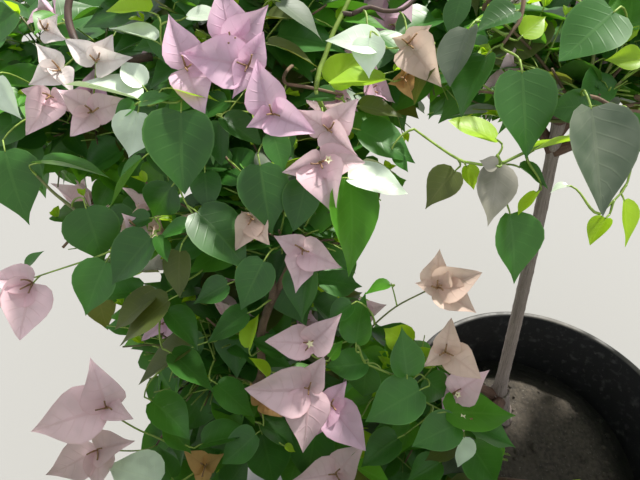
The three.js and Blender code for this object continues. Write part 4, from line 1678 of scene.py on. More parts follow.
class Nodes:
    """A small helper that adds nodes to a tree and links them."""

    def __init__(self, tree: bpy.types.NodeTree) -> None:
        """Work in a node tree."""
        self.tree = tree

    def add(self, kind: str, **settings: object) -> bpy.types.Node:
        """Add a node and set its properties.

        Args:
            kind: Its type.
            settings: Its properties.

        Returns:
            The node.
        """
        node = self.tree.nodes.new(kind)
        for name, value in settings.items():
            setattr(node, name, value)
        return node

    def feed(self, socket: Socket, source: object) -> None:
        """Link a socket to another, or set its value.

        Args:
            socket: The input.
            source: Another node's output, a number or a colour.
        """
        if isinstance(source, Socket):
            self.tree.links.new(source, socket)
        elif isinstance(source, tuple) and len(source) == 3 and socket.type == "RGBA":
            socket.default_value = (*source, 1.0)
        else:
            socket.default_value = source

    def math(self, operation: str, first: object, second: object = 0.5, clamp: bool = False) -> Socket:
        """Add a Math node and give its result.

        Args:
            operation: What it does.
            first: A number or socket.
            second: Another.
            clamp: Whether the result is kept from 0 to 1.

        Returns:
            Its output.
        """
        node = self.add("ShaderNodeMath", operation=operation, use_clamp=clamp)
        self.feed(node.inputs[0], first)
        self.feed(node.inputs[1], second)
        return node.outputs[0]

    def times(self, first: object, second: object) -> Socket:
        """Multiply two values."""
        return self.math("MULTIPLY", first, second)

    def parts(self, vector: object) -> bpy.types.NodeOutputs:
        """Give the X, Y and Z of a vector.

        Args:
            vector: A vector or socket.

        Returns:
            The three, by name.
        """
        node = self.add("ShaderNodeSeparateXYZ")
        self.feed(node.inputs[0], vector)
        return node.outputs

    def place(self, kind: str = "Object") -> Socket:
        """Give where a pattern is read: in space, or on the piece's UV map."""
        return self.add("ShaderNodeTexCoord").outputs[kind]

    def blend(self, share: object, first: object, second: object) -> Socket:
        """Mix two colours and give the result.

        Args:
            share: How much of the second shows.
            first: A colour or socket.
            second: Another.

        Returns:
            The mixed colour.
        """
        node = self.add("ShaderNodeMix", data_type="RGBA")
        self.feed(node.inputs["Factor"], share)
        self.feed(node.inputs[6], first)
        self.feed(node.inputs[7], second)
        return node.outputs[2]

    def span(
        self, value: object, low: object, high: object, to_low: float = 0.0, to_high: float = 1.0
    ) -> Socket:
        """Map one range of values to another, kept within it.

        Args:
            value: A number or socket.
            low: The lower end of what comes in.
            high: The upper end of what comes in.
            to_low: What the lower end becomes.
            to_high: What the upper end becomes.

        Returns:
            The new value.
        """
        node = self.add("ShaderNodeMapRange")
        ends = {"Value": value, "From Min": low, "From Max": high, "To Min": to_low, "To Max": to_high}
        for name, source in ends.items():
            self.feed(node.inputs[name], source)
        return node.outputs["Result"]

    def noise(self, vector: Socket, scale: object, detail: float = 2.0) -> Socket:
        """Add a noise pattern and give its value.

        Args:
            vector: Where it is read.
            scale: How fine it is.
            detail: How rough it is.

        Returns:
            Its value.
        """
        node = self.add("ShaderNodeTexNoise")
        for name, source in (("Vector", vector), ("Scale", scale), ("Detail", detail)):
            self.feed(node.inputs[name], source)
        return node.outputs["Fac"]

    def group(self, tree: bpy.types.NodeTree, **values: object) -> tuple[Socket, ...]:
        """Place a shared group with its own values.

        Args:
            tree: The group.
            values: What its inputs are given.

        Returns:
            Its outputs, in their order.
        """
        node = self.add("ShaderNodeGroup", node_tree=tree)
        for name, value in values.items():
            self.feed(node.inputs[name.replace("_", " ").capitalize()], value)
        return tuple(node.outputs)


def new_group(
    name: str, inputs: dict[str, float], outputs: Sequence[str]
) -> tuple[Nodes, bpy.types.Node, bpy.types.Node]:
    """Start a shader node group.

    Args:
        name: Its name.
        inputs: Its number sockets and their values. A name that ends in "vector" makes a vector socket.
        outputs: Its number sockets.

    Returns:
        The helper for its tree, the node with its inputs and the node for its outputs.
    """
    tree = bpy.data.node_groups.new(name, "ShaderNodeTree")
    for label, value in inputs.items():
        kind = "NodeSocketVector" if label.endswith("vector") else "NodeSocketFloat"
        socket = tree.interface.new_socket(name=label, in_out="INPUT", socket_type=kind)
        if kind == "NodeSocketFloat":
            socket.default_value = value
    for label in outputs:
        tree.interface.new_socket(name=label, in_out="OUTPUT", socket_type="NodeSocketFloat")
    nodes = Nodes(tree)
    return nodes, nodes.add("NodeGroupInput"), nodes.add("NodeGroupOutput")


class Effects:
    """The effects that several finishes share."""

    def __init__(self) -> None:
        """Build the groups once."""
        self.veins = self.build_veins()
        self.mottle = self.build_mottle()
        self.grain = self.build_grain()

    def build_veins(self) -> bpy.types.NodeTree:
        """Draw the midrib, the side veins and the margin of a blade from its UV.

        Returns:
            The group.
        """
        sockets = {"Uv vector": 0, "Count": 7.0, "Width": 0.1}
        nodes, given, out = new_group("Blade veins", sockets, ("Vein", "Margin"))
        parts = nodes.parts(given.outputs["Uv vector"])
        across = nodes.math("ABSOLUTE", nodes.math("SUBTRACT", nodes.times(parts["X"], 2.0), 1.0))
        rib = nodes.span(across, 0.03, 0.07, 1.0, 0.0)
        swept = nodes.math("SUBTRACT", parts["Y"], nodes.times(across, 0.22))
        wave = nodes.math("FRACT", nodes.times(swept, given.outputs["Count"]))
        off = nodes.math("ABSOLUTE", nodes.math("SUBTRACT", wave, 0.5))
        side = nodes.math("SUBTRACT", 1.0, nodes.math("DIVIDE", off, given.outputs["Width"]), clamp=True)
        side = nodes.times(side, nodes.span(across, 0.5, 0.95, 0.75, 0.0))
        nodes.feed(out.inputs["Vein"], nodes.math("MAXIMUM", rib, side))
        nodes.feed(out.inputs["Margin"], nodes.span(across, 0.93, 0.99))
        return nodes.tree

    def build_mottle(self) -> bpy.types.NodeTree:
        """Give soft blotches and small specks in space.

        Returns:
            The group.
        """
        sockets = {"Scale": 30.0, "Specks": 0.65}
        nodes, given, out = new_group("Mottle and specks", sockets, ("Mottle", "Speck"))
        where = nodes.place()
        least = given.outputs["Specks"]
        blotch = nodes.noise(where, given.outputs["Scale"])
        fine = nodes.noise(where, nodes.times(given.outputs["Scale"], 14.0))
        nodes.feed(out.inputs["Mottle"], nodes.span(blotch, 0.35, 0.65))
        nodes.feed(out.inputs["Speck"], nodes.span(fine, least, nodes.math("ADD", least, 0.06)))
        return nodes.tree

    def build_grain(self) -> bpy.types.NodeTree:
        """Give streaks that run along a limb, without a seam, from its UV.

        Returns:
            The group.
        """
        sockets = {"Uv vector": 0, "Round": 3.0, "Long": 0.8}
        nodes, given, out = new_group("Lengthwise grain", sockets, ("Grain", "Crack"))
        parts = nodes.parts(given.outputs["Uv vector"])
        angle = nodes.times(parts["X"], FULL_TURN)
        where = nodes.add("ShaderNodeCombineXYZ")
        for k, turn in enumerate(("COSINE", "SINE")):
            nodes.feed(where.inputs[k], nodes.times(nodes.math(turn, angle), given.outputs["Round"]))
        nodes.feed(where.inputs[2], nodes.times(parts["Y"], given.outputs["Long"]))
        grain = nodes.noise(where.outputs[0], 2.2, 5.0)
        crack = nodes.noise(where.outputs[0], 4.5, 2.0)
        nodes.feed(out.inputs["Grain"], nodes.span(grain, 0.3, 0.7))
        nodes.feed(out.inputs["Crack"], nodes.span(crack, 0.56, 0.66))
        return nodes.tree


class Surface:
    """A new material with its Principled shader and output."""

    def __init__(self, name: str) -> None:
        """Start the material.

        Args:
            name: What the material is called.
        """
        self.material = bpy.data.materials.new(name)
        self.material.use_nodes = True
        self.nodes = Nodes(self.material.node_tree)
        self.nodes.tree.nodes.clear()
        self.shader = self.nodes.add("ShaderNodeBsdfPrincipled")
        self.output = self.nodes.add("ShaderNodeOutputMaterial")
        self.nodes.feed(self.output.inputs["Surface"], self.shader.outputs[0])

    def set(self, **values: object) -> None:
        """Set or link sockets of the shader."""
        for name, value in values.items():
            self.nodes.feed(self.shader.inputs[name.replace("_", " ")], value)

    def bump(self, height: Socket, strength: float, distance: float) -> None:
        """Raise the surface by a height pattern.

        Args:
            height: The pattern.
            strength: How much of it shows.
            distance: Its height.
        """
        node = self.nodes.add("ShaderNodeBump")
        node.inputs["Strength"].default_value = strength
        node.inputs["Distance"].default_value = distance
        self.nodes.feed(node.inputs["Height"], height)
        self.nodes.feed(self.shader.inputs["Normal"], node.outputs[0])

    def glow(self, colour: object, share: float) -> None:
        """Let light through, as a thin leaf does.

        Args:
            colour: That of the light.
            share: How much comes through.
        """
        thin = self.nodes.add("ShaderNodeBsdfTranslucent")
        self.nodes.feed(thin.inputs["Color"], colour)
        both = self.nodes.add("ShaderNodeMixShader")
        both.inputs[0].default_value = share
        self.nodes.feed(both.inputs[1], self.shader.outputs[0])
        self.nodes.feed(both.inputs[2], thin.outputs[0])
        self.nodes.feed(self.output.inputs["Surface"], both.outputs[0])


@dataclass(frozen=True)
class BladeFinish:
    """The finish of a leaf or bract: its upper side, back, veins and the light that comes through it."""

    name: str
    face: Colour
    back: Colour
    vein: Colour
    through: Colour
    glow: float = 0.3
    roughness: float = 0.38
    shine: float = 0.45
    dust: float = 0.0
    dust_colour: Colour = (0.42, 0.39, 0.33)
    vein_count: float = 7.0
    vein_share: float = 0.28
    relief: float = 0.2

    def material(self, effects: Effects) -> bpy.types.Material:
        """Make the material.

        Args:
            effects: The shared groups.

        Returns:
            The material.
        """
        surface = Surface(self.name)
        nodes = surface.nodes
        vein, margin = nodes.group(effects.veins, uv_vector=nodes.place("UV"), count=self.vein_count)
        mottle, _ = nodes.group(effects.mottle, scale=34.0)
        darker = tuple(channel * 0.72 for channel in self.face)
        face = nodes.blend(mottle, darker, self.face)
        face = nodes.blend(nodes.times(vein, self.vein_share), face, self.vein)
        face = nodes.blend(nodes.times(margin, 0.5), face, self.vein)
        if self.dust:
            share = nodes.times(nodes.span(mottle, 0, 1, 0.35, 1.0), self.dust)
            face = nodes.blend(share, face, self.dust_colour)
        back = nodes.blend(nodes.times(vein, 0.45), self.back, self.vein)
        behind = nodes.add("ShaderNodeNewGeometry").outputs["Backfacing"]
        surface.set(Base_Color=nodes.blend(behind, face, back))
        rough = nodes.span(mottle, 0, 1, self.roughness, self.roughness + 0.12)
        surface.set(Roughness=rough, Specular_IOR_Level=self.shine)
        surface.bump(vein, self.relief, 0.0006)
        if self.glow:
            surface.glow(self.through, self.glow)
        return surface.material


@dataclass(frozen=True)
class BarkFinish:
    """The finish of a limb or twig."""

    name: str
    ridge: Colour
    groove: Colour
    roughness: float = 0.75
    relief: float = 0.5
    streaks: float = 3.0

    def material(self, effects: Effects) -> bpy.types.Material:
        """Make the material.

        Args:
            effects: The shared groups.

        Returns:
            The material.
        """
        surface = Surface(self.name)
        nodes = surface.nodes
        grain, crack = nodes.group(effects.grain, uv_vector=nodes.place("UV"), round=self.streaks)
        mottle, speck = nodes.group(effects.mottle, scale=45.0, specks=0.64)
        colour = nodes.blend(grain, self.groove, self.ridge)
        pale = tuple(min(channel * 1.5 + 0.03, 1) for channel in self.ridge)
        colour = nodes.blend(nodes.times(speck, 0.6), colour, pale)
        colour = nodes.blend(nodes.times(mottle, 0.35), colour, self.groove)
        dark = tuple(channel * 0.4 for channel in self.groove)
        colour = nodes.blend(nodes.times(crack, 0.7), colour, dark)
        rough = nodes.span(grain, 0, 1, self.roughness, self.roughness + 0.15)
        surface.set(Base_Color=colour, Roughness=rough)
        surface.bump(nodes.math("SUBTRACT", grain, crack), self.relief, 0.0012)
        return surface.material


@dataclass(frozen=True)
class TwigFinish:
    """The finish of a slim twig, petiole or flower part, too thin for grain."""

    name: str
    colour: Colour
    other: Colour
    roughness: float = 0.5
    glow: float = 0.0

    def material(self, effects: Effects) -> bpy.types.Material:
        """Make the material.

        Args:
            effects: The shared groups.

        Returns:
            The material.
        """
        surface = Surface(self.name)
        nodes = surface.nodes
        mottle, speck = nodes.group(effects.mottle, scale=60.0, specks=0.62)
        colour = nodes.blend(mottle, self.other, self.colour)
        pale = tuple(min(channel * 1.6, 1) for channel in self.colour)
        colour = nodes.blend(nodes.times(speck, 0.5), colour, pale)
        rough = nodes.span(mottle, 0, 1, self.roughness, self.roughness + 0.15)
        surface.set(Base_Color=colour, Roughness=rough)
        surface.bump(mottle, 0.3, 0.0003)
        if self.glow:
            surface.glow(self.colour, self.glow)
        return surface.material


@dataclass(frozen=True)
class PlasticFinish:
    """Moulded black plastic, scuffed, with dust on its rim and ledges."""

    name: str = "Black tub plastic"
    colour: Colour = (0.012, 0.0125, 0.013)
    scuff: Colour = (0.06, 0.06, 0.058)
    dust: Colour = (0.30, 0.27, 0.23)

    def material(self, effects: Effects) -> bpy.types.Material:
        """Make the material.

        Args:
            effects: The shared groups.

        Returns:
            The material.
        """
        surface = Surface(self.name)
        nodes = surface.nodes
        mottle, speck = nodes.group(effects.mottle, scale=9.0, specks=0.66)
        streak = nodes.noise(nodes.place(), 60.0, 6.0)
        colour = nodes.blend(nodes.span(streak, 0.55, 0.72, 0.0, 0.8), self.colour, self.scuff)
        facing = nodes.parts(nodes.add("ShaderNodeNewGeometry").outputs["Normal"])["Z"]
        height = nodes.parts(nodes.place())["Z"]
        ledge = nodes.times(nodes.span(facing, 0.35, 0.95), nodes.span(height, 0.3, 0.36))
        share = nodes.times(ledge, nodes.span(mottle, 0, 1, 0.08, 0.42))
        share = nodes.math("MAXIMUM", share, nodes.times(speck, 0.1))
        foot = nodes.times(nodes.span(height, 0.0, 0.09, 0.5, 0.0), streak)
        surface.set(Base_Color=nodes.blend(nodes.math("MAXIMUM", share, foot), colour, self.dust))
        rough = nodes.span(streak, 0.3, 0.7, 0.42, 0.6)
        surface.set(Roughness=nodes.math("ADD", rough, nodes.times(share, 0.3)))
        surface.bump(streak, 0.12, 0.0006)
        return surface.material


@dataclass(frozen=True)
class SoilFinish:
    """Dry, dusty garden soil, with painted shade where it dips low by the tub wall."""

    name: str = "Dry soil"
    dark: Colour = (0.034, 0.028, 0.021)
    light: Colour = (0.088, 0.073, 0.056)
    grit: Colour = (0.23, 0.21, 0.18)
    wall_shade: Colour = (0.012, 0.013, 0.012)

    def material(self, effects: Effects) -> bpy.types.Material:
        """Make the material.

        Args:
            effects: The shared groups.

        Returns:
            The material.
        """
        surface = Surface(self.name)
        nodes = surface.nodes
        mottle, speck = nodes.group(effects.mottle, scale=16.0, specks=0.65)
        crumb = nodes.noise(nodes.place(), 130.0, 6.0)
        colour = nodes.blend(nodes.span(crumb, 0.35, 0.65), self.dark, self.light)
        colour = nodes.blend(nodes.times(mottle, 0.4), colour, self.light)
        colour = nodes.blend(nodes.times(speck, 0.4), colour, self.grit)
        # Painted shade: near black where the soil dips low by the tub wall, fading out towards the crest
        wall_shade = nodes.span(nodes.parts(nodes.place())["Z"], 0.246, 0.286, 0.85, 0.0)
        surface.set(Base_Color=nodes.blend(wall_shade, colour, self.wall_shade))
        surface.set(Roughness=nodes.span(crumb, 0.3, 0.7, 0.86, 1.0))
        surface.bump(crumb, 0.55, 0.003)
        return surface.material


LEAF_FINISHES = {
    Leaf.SHADE: BladeFinish(
        "Leaf in shade", (0.030, 0.112, 0.016), (0.080, 0.165, 0.040),
        (0.085, 0.20, 0.04), (0.13, 0.40, 0.02), glow=0.22, roughness=0.33,
    ),
    Leaf.MID: BladeFinish(
        "Leaf mid green", (0.046, 0.170, 0.026), (0.10, 0.21, 0.055),
        (0.11, 0.27, 0.06), (0.18, 0.50, 0.02), glow=0.25, roughness=0.34,
    ),
    Leaf.FRESH: BladeFinish(
        "Leaf fresh green", (0.080, 0.270, 0.022), (0.14, 0.30, 0.05),
        (0.17, 0.40, 0.06), (0.26, 0.70, 0.02), glow=0.34, roughness=0.36,
    ),
    # Painted light: yellow-green for sunlit and backlit leaves, also the buds' young green
    Leaf.LIT: BladeFinish(
        "Leaf yellow green", (0.38, 0.62, 0.020), (0.42, 0.62, 0.05),
        (0.52, 0.70, 0.10), (0.62, 0.95, 0.02), glow=0.42, roughness=0.4,
    ),
    Leaf.OLIVE: BladeFinish(
        "Leaf olive back", (0.085, 0.112, 0.022), (0.13, 0.14, 0.04),
        (0.18, 0.18, 0.06), (0.28, 0.32, 0.03), glow=0.25, roughness=0.45,
    ),
    Leaf.DUSTY: BladeFinish(
        "Leaf with dust", (0.034, 0.082, 0.034), (0.12, 0.15, 0.07),
        (0.11, 0.16, 0.08), (0.14, 0.26, 0.05), glow=0.12, roughness=0.48, dust=0.26,
    ),
    # Painted highlight: a near-white face that stands for sun glare on glossy leaves
    Leaf.PALE: BladeFinish(
        "Leaf pale green", (0.72, 0.83, 0.68), (0.42, 0.56, 0.32),
        (0.72, 0.82, 0.62), (0.6, 0.8, 0.4), glow=0.2, roughness=0.25,
    ),
    Leaf.CAKED: BladeFinish(
        "Leaf caked with dust", (0.10, 0.11, 0.05), (0.14, 0.14, 0.08),
        (0.26, 0.24, 0.17), (0.14, 0.18, 0.05), glow=0.08, roughness=0.7, dust=0.85,
    ),
}
BRACT_LOOK = {"glow": 0.32, "roughness": 0.6, "vein_count": 6.0, "vein_share": 0.42, "relief": 0.6}
BRACT_FINISHES = {
    Bract.MAUVE: BladeFinish(
        "Bract mauve", (0.84, 0.56, 0.72), (0.86, 0.61, 0.75),
        (0.63, 0.35, 0.47), (0.98, 0.68, 0.84), **BRACT_LOOK,
    ),
    Bract.PINK: BladeFinish(
        "Bract pale pink", (0.87, 0.62, 0.68), (0.88, 0.67, 0.70),
        (0.63, 0.37, 0.40), (0.98, 0.74, 0.78), **BRACT_LOOK,
    ),
    Bract.PALE: BladeFinish(
        "Bract washed out", (0.88, 0.79, 0.77), (0.90, 0.82, 0.78),
        (0.70, 0.56, 0.52), (0.98, 0.88, 0.84), **BRACT_LOOK,
    ),
    Bract.PEACH: BladeFinish(
        "Bract peach", (0.76, 0.57, 0.48), (0.78, 0.60, 0.50),
        (0.54, 0.34, 0.26), (0.96, 0.74, 0.60), **BRACT_LOOK,
    ),
    Bract.TAN: BladeFinish(
        "Bract dried tan", (0.62, 0.36, 0.14), (0.64, 0.40, 0.18),
        (0.40, 0.20, 0.07), (0.88, 0.52, 0.2), **BRACT_LOOK,
    ),
}
TWIG_FINISHES = {
    Twig.GREEN: TwigFinish("Twig yellow green", (0.28, 0.40, 0.07), (0.17, 0.26, 0.04), 0.45),
    Twig.OLIVE: TwigFinish("Twig olive", (0.18, 0.20, 0.06), (0.10, 0.11, 0.035), 0.55),
    Twig.BROWN: TwigFinish("Twig brown", (0.20, 0.125, 0.08), (0.10, 0.062, 0.04), 0.7),
    Twig.DARK: TwigFinish("Twig dark", (0.10, 0.058, 0.045), (0.05, 0.03, 0.022), 0.6),
}
FLOWER_FINISHES = (
    TwigFinish("Flower tube", (0.34, 0.20, 0.09), (0.20, 0.11, 0.06), 0.6),
    TwigFinish("Flower star", (0.85, 0.82, 0.55), (0.78, 0.74, 0.45), 0.6, glow=0.2),
)
GREY_BARK = BarkFinish("Grey-brown bark", (0.42, 0.35, 0.315), (0.26, 0.205, 0.18), relief=0.3)
RED_BARK = BarkFinish("Red-brown bark", (0.24, 0.13, 0.085), (0.11, 0.058, 0.04), roughness=0.62)


# Pieces that are modelled one by one

CLOSE = 0.0001  # places no further apart than this count as the same


def deselect() -> None:
    """Leave object mode clean: nothing selected."""
    bpy.ops.object.select_all(action="DESELECT")


def select_where(piece: bpy.types.Object, kind: str, test: Callable[[object], bool]) -> None:
    """Select, in edit mode, the vertices, edges or faces that pass a test, and nothing else.

    Args:
        piece: The object, in edit mode.
        kind: VERT, EDGE or FACE.
        test: Told each vertex, edge or polygon of the mesh.
    """
    bpy.ops.mesh.select_mode(type=kind)
    bpy.ops.mesh.select_all(action="DESELECT")
    bpy.ops.object.mode_set(mode="OBJECT")
    items = {"VERT": piece.data.vertices, "EDGE": piece.data.edges, "FACE": piece.data.polygons}[kind]
    for item in items:
        item.select = bool(test(item))
    bpy.ops.object.mode_set(mode="EDIT")


def apply(piece: bpy.types.Object, kind: str, name: str, **settings: object) -> None:
    """Add a modifier, set it and apply it.

    Args:
        piece: The object.
        kind: The modifier's type.
        name: What it is called.
        settings: Its properties.
    """
    modifier = piece.modifiers.new(name, kind)
    for key, value in settings.items():
        setattr(modifier, key, value)
    bpy.context.view_layer.objects.active = piece
    bpy.ops.object.modifier_apply(modifier=modifier.name)


def clouds(name: str, size: float, depth: int = 3) -> bpy.types.Texture:
    """Make the noise that relief is displaced by.

    Args:
        name: What it is called.
        size: How coarse it is.
        depth: How rough it is.

    Returns:
        The texture.
    """
    texture = bpy.data.textures.new(name, "CLOUDS")
    texture.noise_scale = size
    texture.noise_depth = depth
    return texture


@dataclass
class BarkedLimb:
    """One limb as a mesh: a round bar, roughened lengthwise and bent along the limb's line."""

    limb: Limb
    sides: int = 20
    ring_step: float = 0.006
    knot_step: float = 0.045
    knot_swell: float = 0.07
    collar: float = 0.35
    relief: float = 0.08

    def radius(self, share: np.ndarray) -> np.ndarray:
        """Give the radius with its knots and the collar at its foot.

        Args:
            share: The share, or shares, of its length.

        Returns:
            The radius at each.
        """
        gone = share * self.limb.route.length
        plain = self.limb.radius(share)
        turn = gone / self.knot_step * 2 * np.pi
        knots = np.maximum(np.cos(turn + len(self.limb.row.name)), 0) ** 6
        collar = self.collar * np.exp(-gone / (2.2 * plain)) if self.limb.parent else 0
        return plain * (1 + self.knot_swell * knots + collar)

    def line(self) -> bpy.types.Object:
        """Make the curve that the bar is bent along.

        Returns:
            The curve.
        """
        count = max(12, round(self.limb.route.length / self.ring_step))
        shares = np.linspace(0, 1, count)
        curve = bpy.data.curves.new("limb line", "CURVE")
        curve.dimensions = "3D"
        spline = curve.splines.new("POLY")
        spline.points.add(count - 1)
        for item, place, radius in zip(spline.points, self.limb.route.at(shares), self.radius(shares)):
            item.co = (*place, 1)
            item.radius = float(radius)
        item = bpy.data.objects.new("limb line", curve)
        bpy.context.scene.collection.objects.link(item)
        return item

    def build(self, material: bpy.types.Material) -> bpy.types.Object:
        """Model the limb.

        Args:
            material: Its bark.

        Returns:
            The finished piece.
        """
        deselect()
        length = self.limb.route.length
        bpy.ops.mesh.primitive_cylinder_add(
            vertices=self.sides, radius=1, depth=length, location=(length / 2, 0, 0),
            rotation=(0, math.pi / 2, 0),
        )
        piece = bpy.context.object
        piece.name = f"bark_{self.limb.row.name}"
        bpy.ops.object.transform_apply(location=True, rotation=True, scale=True)
        mesh = piece.data
        bpy.ops.object.mode_set(mode="EDIT")
        select_where(piece, "EDGE", lambda edge: self.runs_along(mesh, edge, length))
        bpy.ops.mesh.subdivide(number_cuts=max(10, round(length / self.ring_step)))
        bpy.ops.object.mode_set(mode="OBJECT")
        self.set_uvs(mesh)
        self.flute(mesh)
        sides = piece.vertex_groups.new(name="sides")
        inner = [vertex.index for vertex in mesh.vertices if CLOSE < vertex.co.x < length - CLOSE]
        sides.add(inner, 1.0, "REPLACE")
        for label, size in (("Fissures", 0.35), ("Lumps", 0.9)):
            apply(
                piece, "DISPLACE", label, texture=clouds(label, size), texture_coords="LOCAL",
                strength=self.relief, mid_level=0.5, vertex_group="sides",
            )
        line = self.line()
        apply(piece, "CURVE", "Bend", object=line, deform_axis="POS_X")
        bpy.data.objects.remove(line)
        mesh.polygons.foreach_set("use_smooth", np.ones(len(mesh.polygons), bool))
        mesh.materials.append(material)
        return piece

    @staticmethod
    def runs_along(mesh: bpy.types.Mesh, edge: bpy.types.MeshEdge, length: float) -> bool:
        """Tell whether an edge runs from one end of the bar to the other."""
        first, second = (mesh.vertices[k].co for k in edge.vertices)
        return abs(first.x - second.x) > length / 2

    def set_uvs(self, mesh: bpy.types.Mesh) -> None:
        """Make V the length along the limb in decimetres.

        Args:
            mesh: The straight bar.
        """
        count = len(mesh.loops)
        uvs = np.zeros(count * 2, np.float32)
        mesh.uv_layers.active.uv.foreach_get("vector", uvs)
        corners = np.zeros(count, np.int32)
        mesh.loops.foreach_get("vertex_index", corners)
        places = np.zeros(len(mesh.vertices) * 3, np.float32)
        mesh.vertices.foreach_get("co", places)
        uvs[1::2] = places.reshape(-1, 3)[corners, 0] * 10
        mesh.uv_layers.active.uv.foreach_set("vector", uvs)

    def flute(self, mesh: bpy.types.Mesh) -> None:
        """Give the stump its lobes, strongest at its foot.

        Args:
            mesh: The straight bar.
        """
        if self.limb.parent:
            return
        for vertex in mesh.vertices:
            share = vertex.co.x / self.limb.route.length
            angle = math.atan2(vertex.co.z, vertex.co.y)
            swell = 1 + 0.09 * (1 - share) * math.cos(5 * angle) + 0.05 * math.cos(3 * angle + 1)
            vertex.co.y *= swell
            vertex.co.z *= swell


@dataclass
class Tub:
    """The round plastic tub."""

    height: float = 0.400
    base_radius: float = 0.205
    top_radius: float = 0.269
    rim_radius: float = 0.280
    rim_depth: float = 0.024
    wall: float = 0.005
    floor: float = 0.007
    sides: int = 128
    bands: tuple[float, ...] = (0.12, 0.3)
    band_width: float = 0.009
    band_depth: float = 0.0022

    def build(self, material: bpy.types.Material) -> bpy.types.Object:
        """Model the tub from a cone: rim, hollow, foot and two raised bands.

        Args:
            material: Its plastic.

        Returns:
            The finished piece.
        """
        deselect()
        shell = self.height - self.rim_depth
        bpy.ops.mesh.primitive_cone_add(
            vertices=self.sides, radius1=self.base_radius, radius2=self.top_radius, depth=shell,
            location=(0, 0, shell / 2),
        )
        piece = bpy.context.object
        piece.name = "tub_shell"
        bpy.ops.object.transform_apply(location=True, rotation=True, scale=True)
        bpy.ops.object.mode_set(mode="EDIT")
        for height in self.bands:
            for edge in (height, height + self.band_width):
                bpy.ops.mesh.select_all(action="SELECT")
                bpy.ops.mesh.bisect(plane_co=(0, 0, edge), plane_no=(0, 0, 1), use_fill=False)
        mesh = piece.data
        self.raise_bands(piece)
        select_where(piece, "FACE", lambda face: face.normal.z > 0.9 and face.center.z > shell - 0.001)
        self.extrude(0.0, self.rim_radius / self.top_radius)
        self.extrude(self.rim_depth, 1.0)
        inner = self.inner_radius(self.height)
        self.extrude(0.0, inner / self.rim_radius)
        self.extrude(self.floor - self.height, self.inner_radius(self.floor) / inner)
        select_where(piece, "EDGE", lambda edge: self.is_rim_edge(mesh, edge))
        bpy.ops.mesh.bevel(offset=0.0035, segments=4, affect="EDGES")
        foot = self.base_radius - 0.001
        select_where(piece, "EDGE", lambda edge: self.is_level_edge(mesh, edge, 0, foot))
        bpy.ops.mesh.bevel(offset=0.006, segments=3, affect="EDGES")
        bpy.ops.object.mode_set(mode="OBJECT")
        bpy.ops.object.shade_smooth_by_angle(angle=math.radians(35))
        mesh.materials.append(material)
        return piece

    def inner_radius(self, height: float) -> float:
        """Give the radius of the inside at a height."""
        return mix((self.base_radius, self.top_radius), height / (self.height - self.rim_depth)) - self.wall

    def raise_bands(self, piece: bpy.types.Object) -> None:
        """Push the faces between each pair of cuts outwards.

        Args:
            piece: The tub, in edit mode.
        """
        middles = [height + self.band_width / 2 for height in self.bands]
        select_where(
            piece, "FACE",
            lambda face: abs(face.normal.z) < 0.5
            and any(abs(face.center.z - middle) < 0.002 for middle in middles),
        )
        bpy.ops.mesh.extrude_region_shrink_fatten(TRANSFORM_OT_shrink_fatten={"value": self.band_depth})

    @staticmethod
    def extrude(rise: float, spread: float) -> None:
        """Extrude the selected cap straight up or down and widen or narrow it about the tub's axis."""
        bpy.ops.mesh.extrude_region_move(TRANSFORM_OT_translate={"value": (0, 0, rise)})
        bpy.ops.transform.resize(value=(spread, spread, 1), center_override=(0, 0, 0))

    @staticmethod
    def is_level_edge(
        mesh: bpy.types.Mesh, edge: bpy.types.MeshEdge, height: float, least: float
    ) -> bool:
        """Tell whether an edge runs round the tub, level at a height and outside a radius.

        Args:
            mesh: The tub's.
            edge: The edge.
            height: Where it has to lie.
            least: The smallest radius.

        Returns:
            True where it does.
        """
        first, second = (mesh.vertices[k].co for k in edge.vertices)
        level = abs(first.z - height) < CLOSE and abs(second.z - height) < CLOSE
        return level and least < first.xy.length and abs(first.xy.length - second.xy.length) < CLOSE

    def is_rim_edge(self, mesh: bpy.types.Mesh, edge: bpy.types.MeshEdge) -> bool:
        """Tell whether an edge is one of the rim's corners.

        Args:
            mesh: The tub's.
            edge: The edge.

        Returns:
            True where it is.
        """
        inner = self.inner_radius(self.height)
        top = self.is_level_edge(mesh, edge, self.height, inner - 0.001)
        low = self.height - self.rim_depth
        return top or self.is_level_edge(mesh, edge, low, self.rim_radius - 0.001)


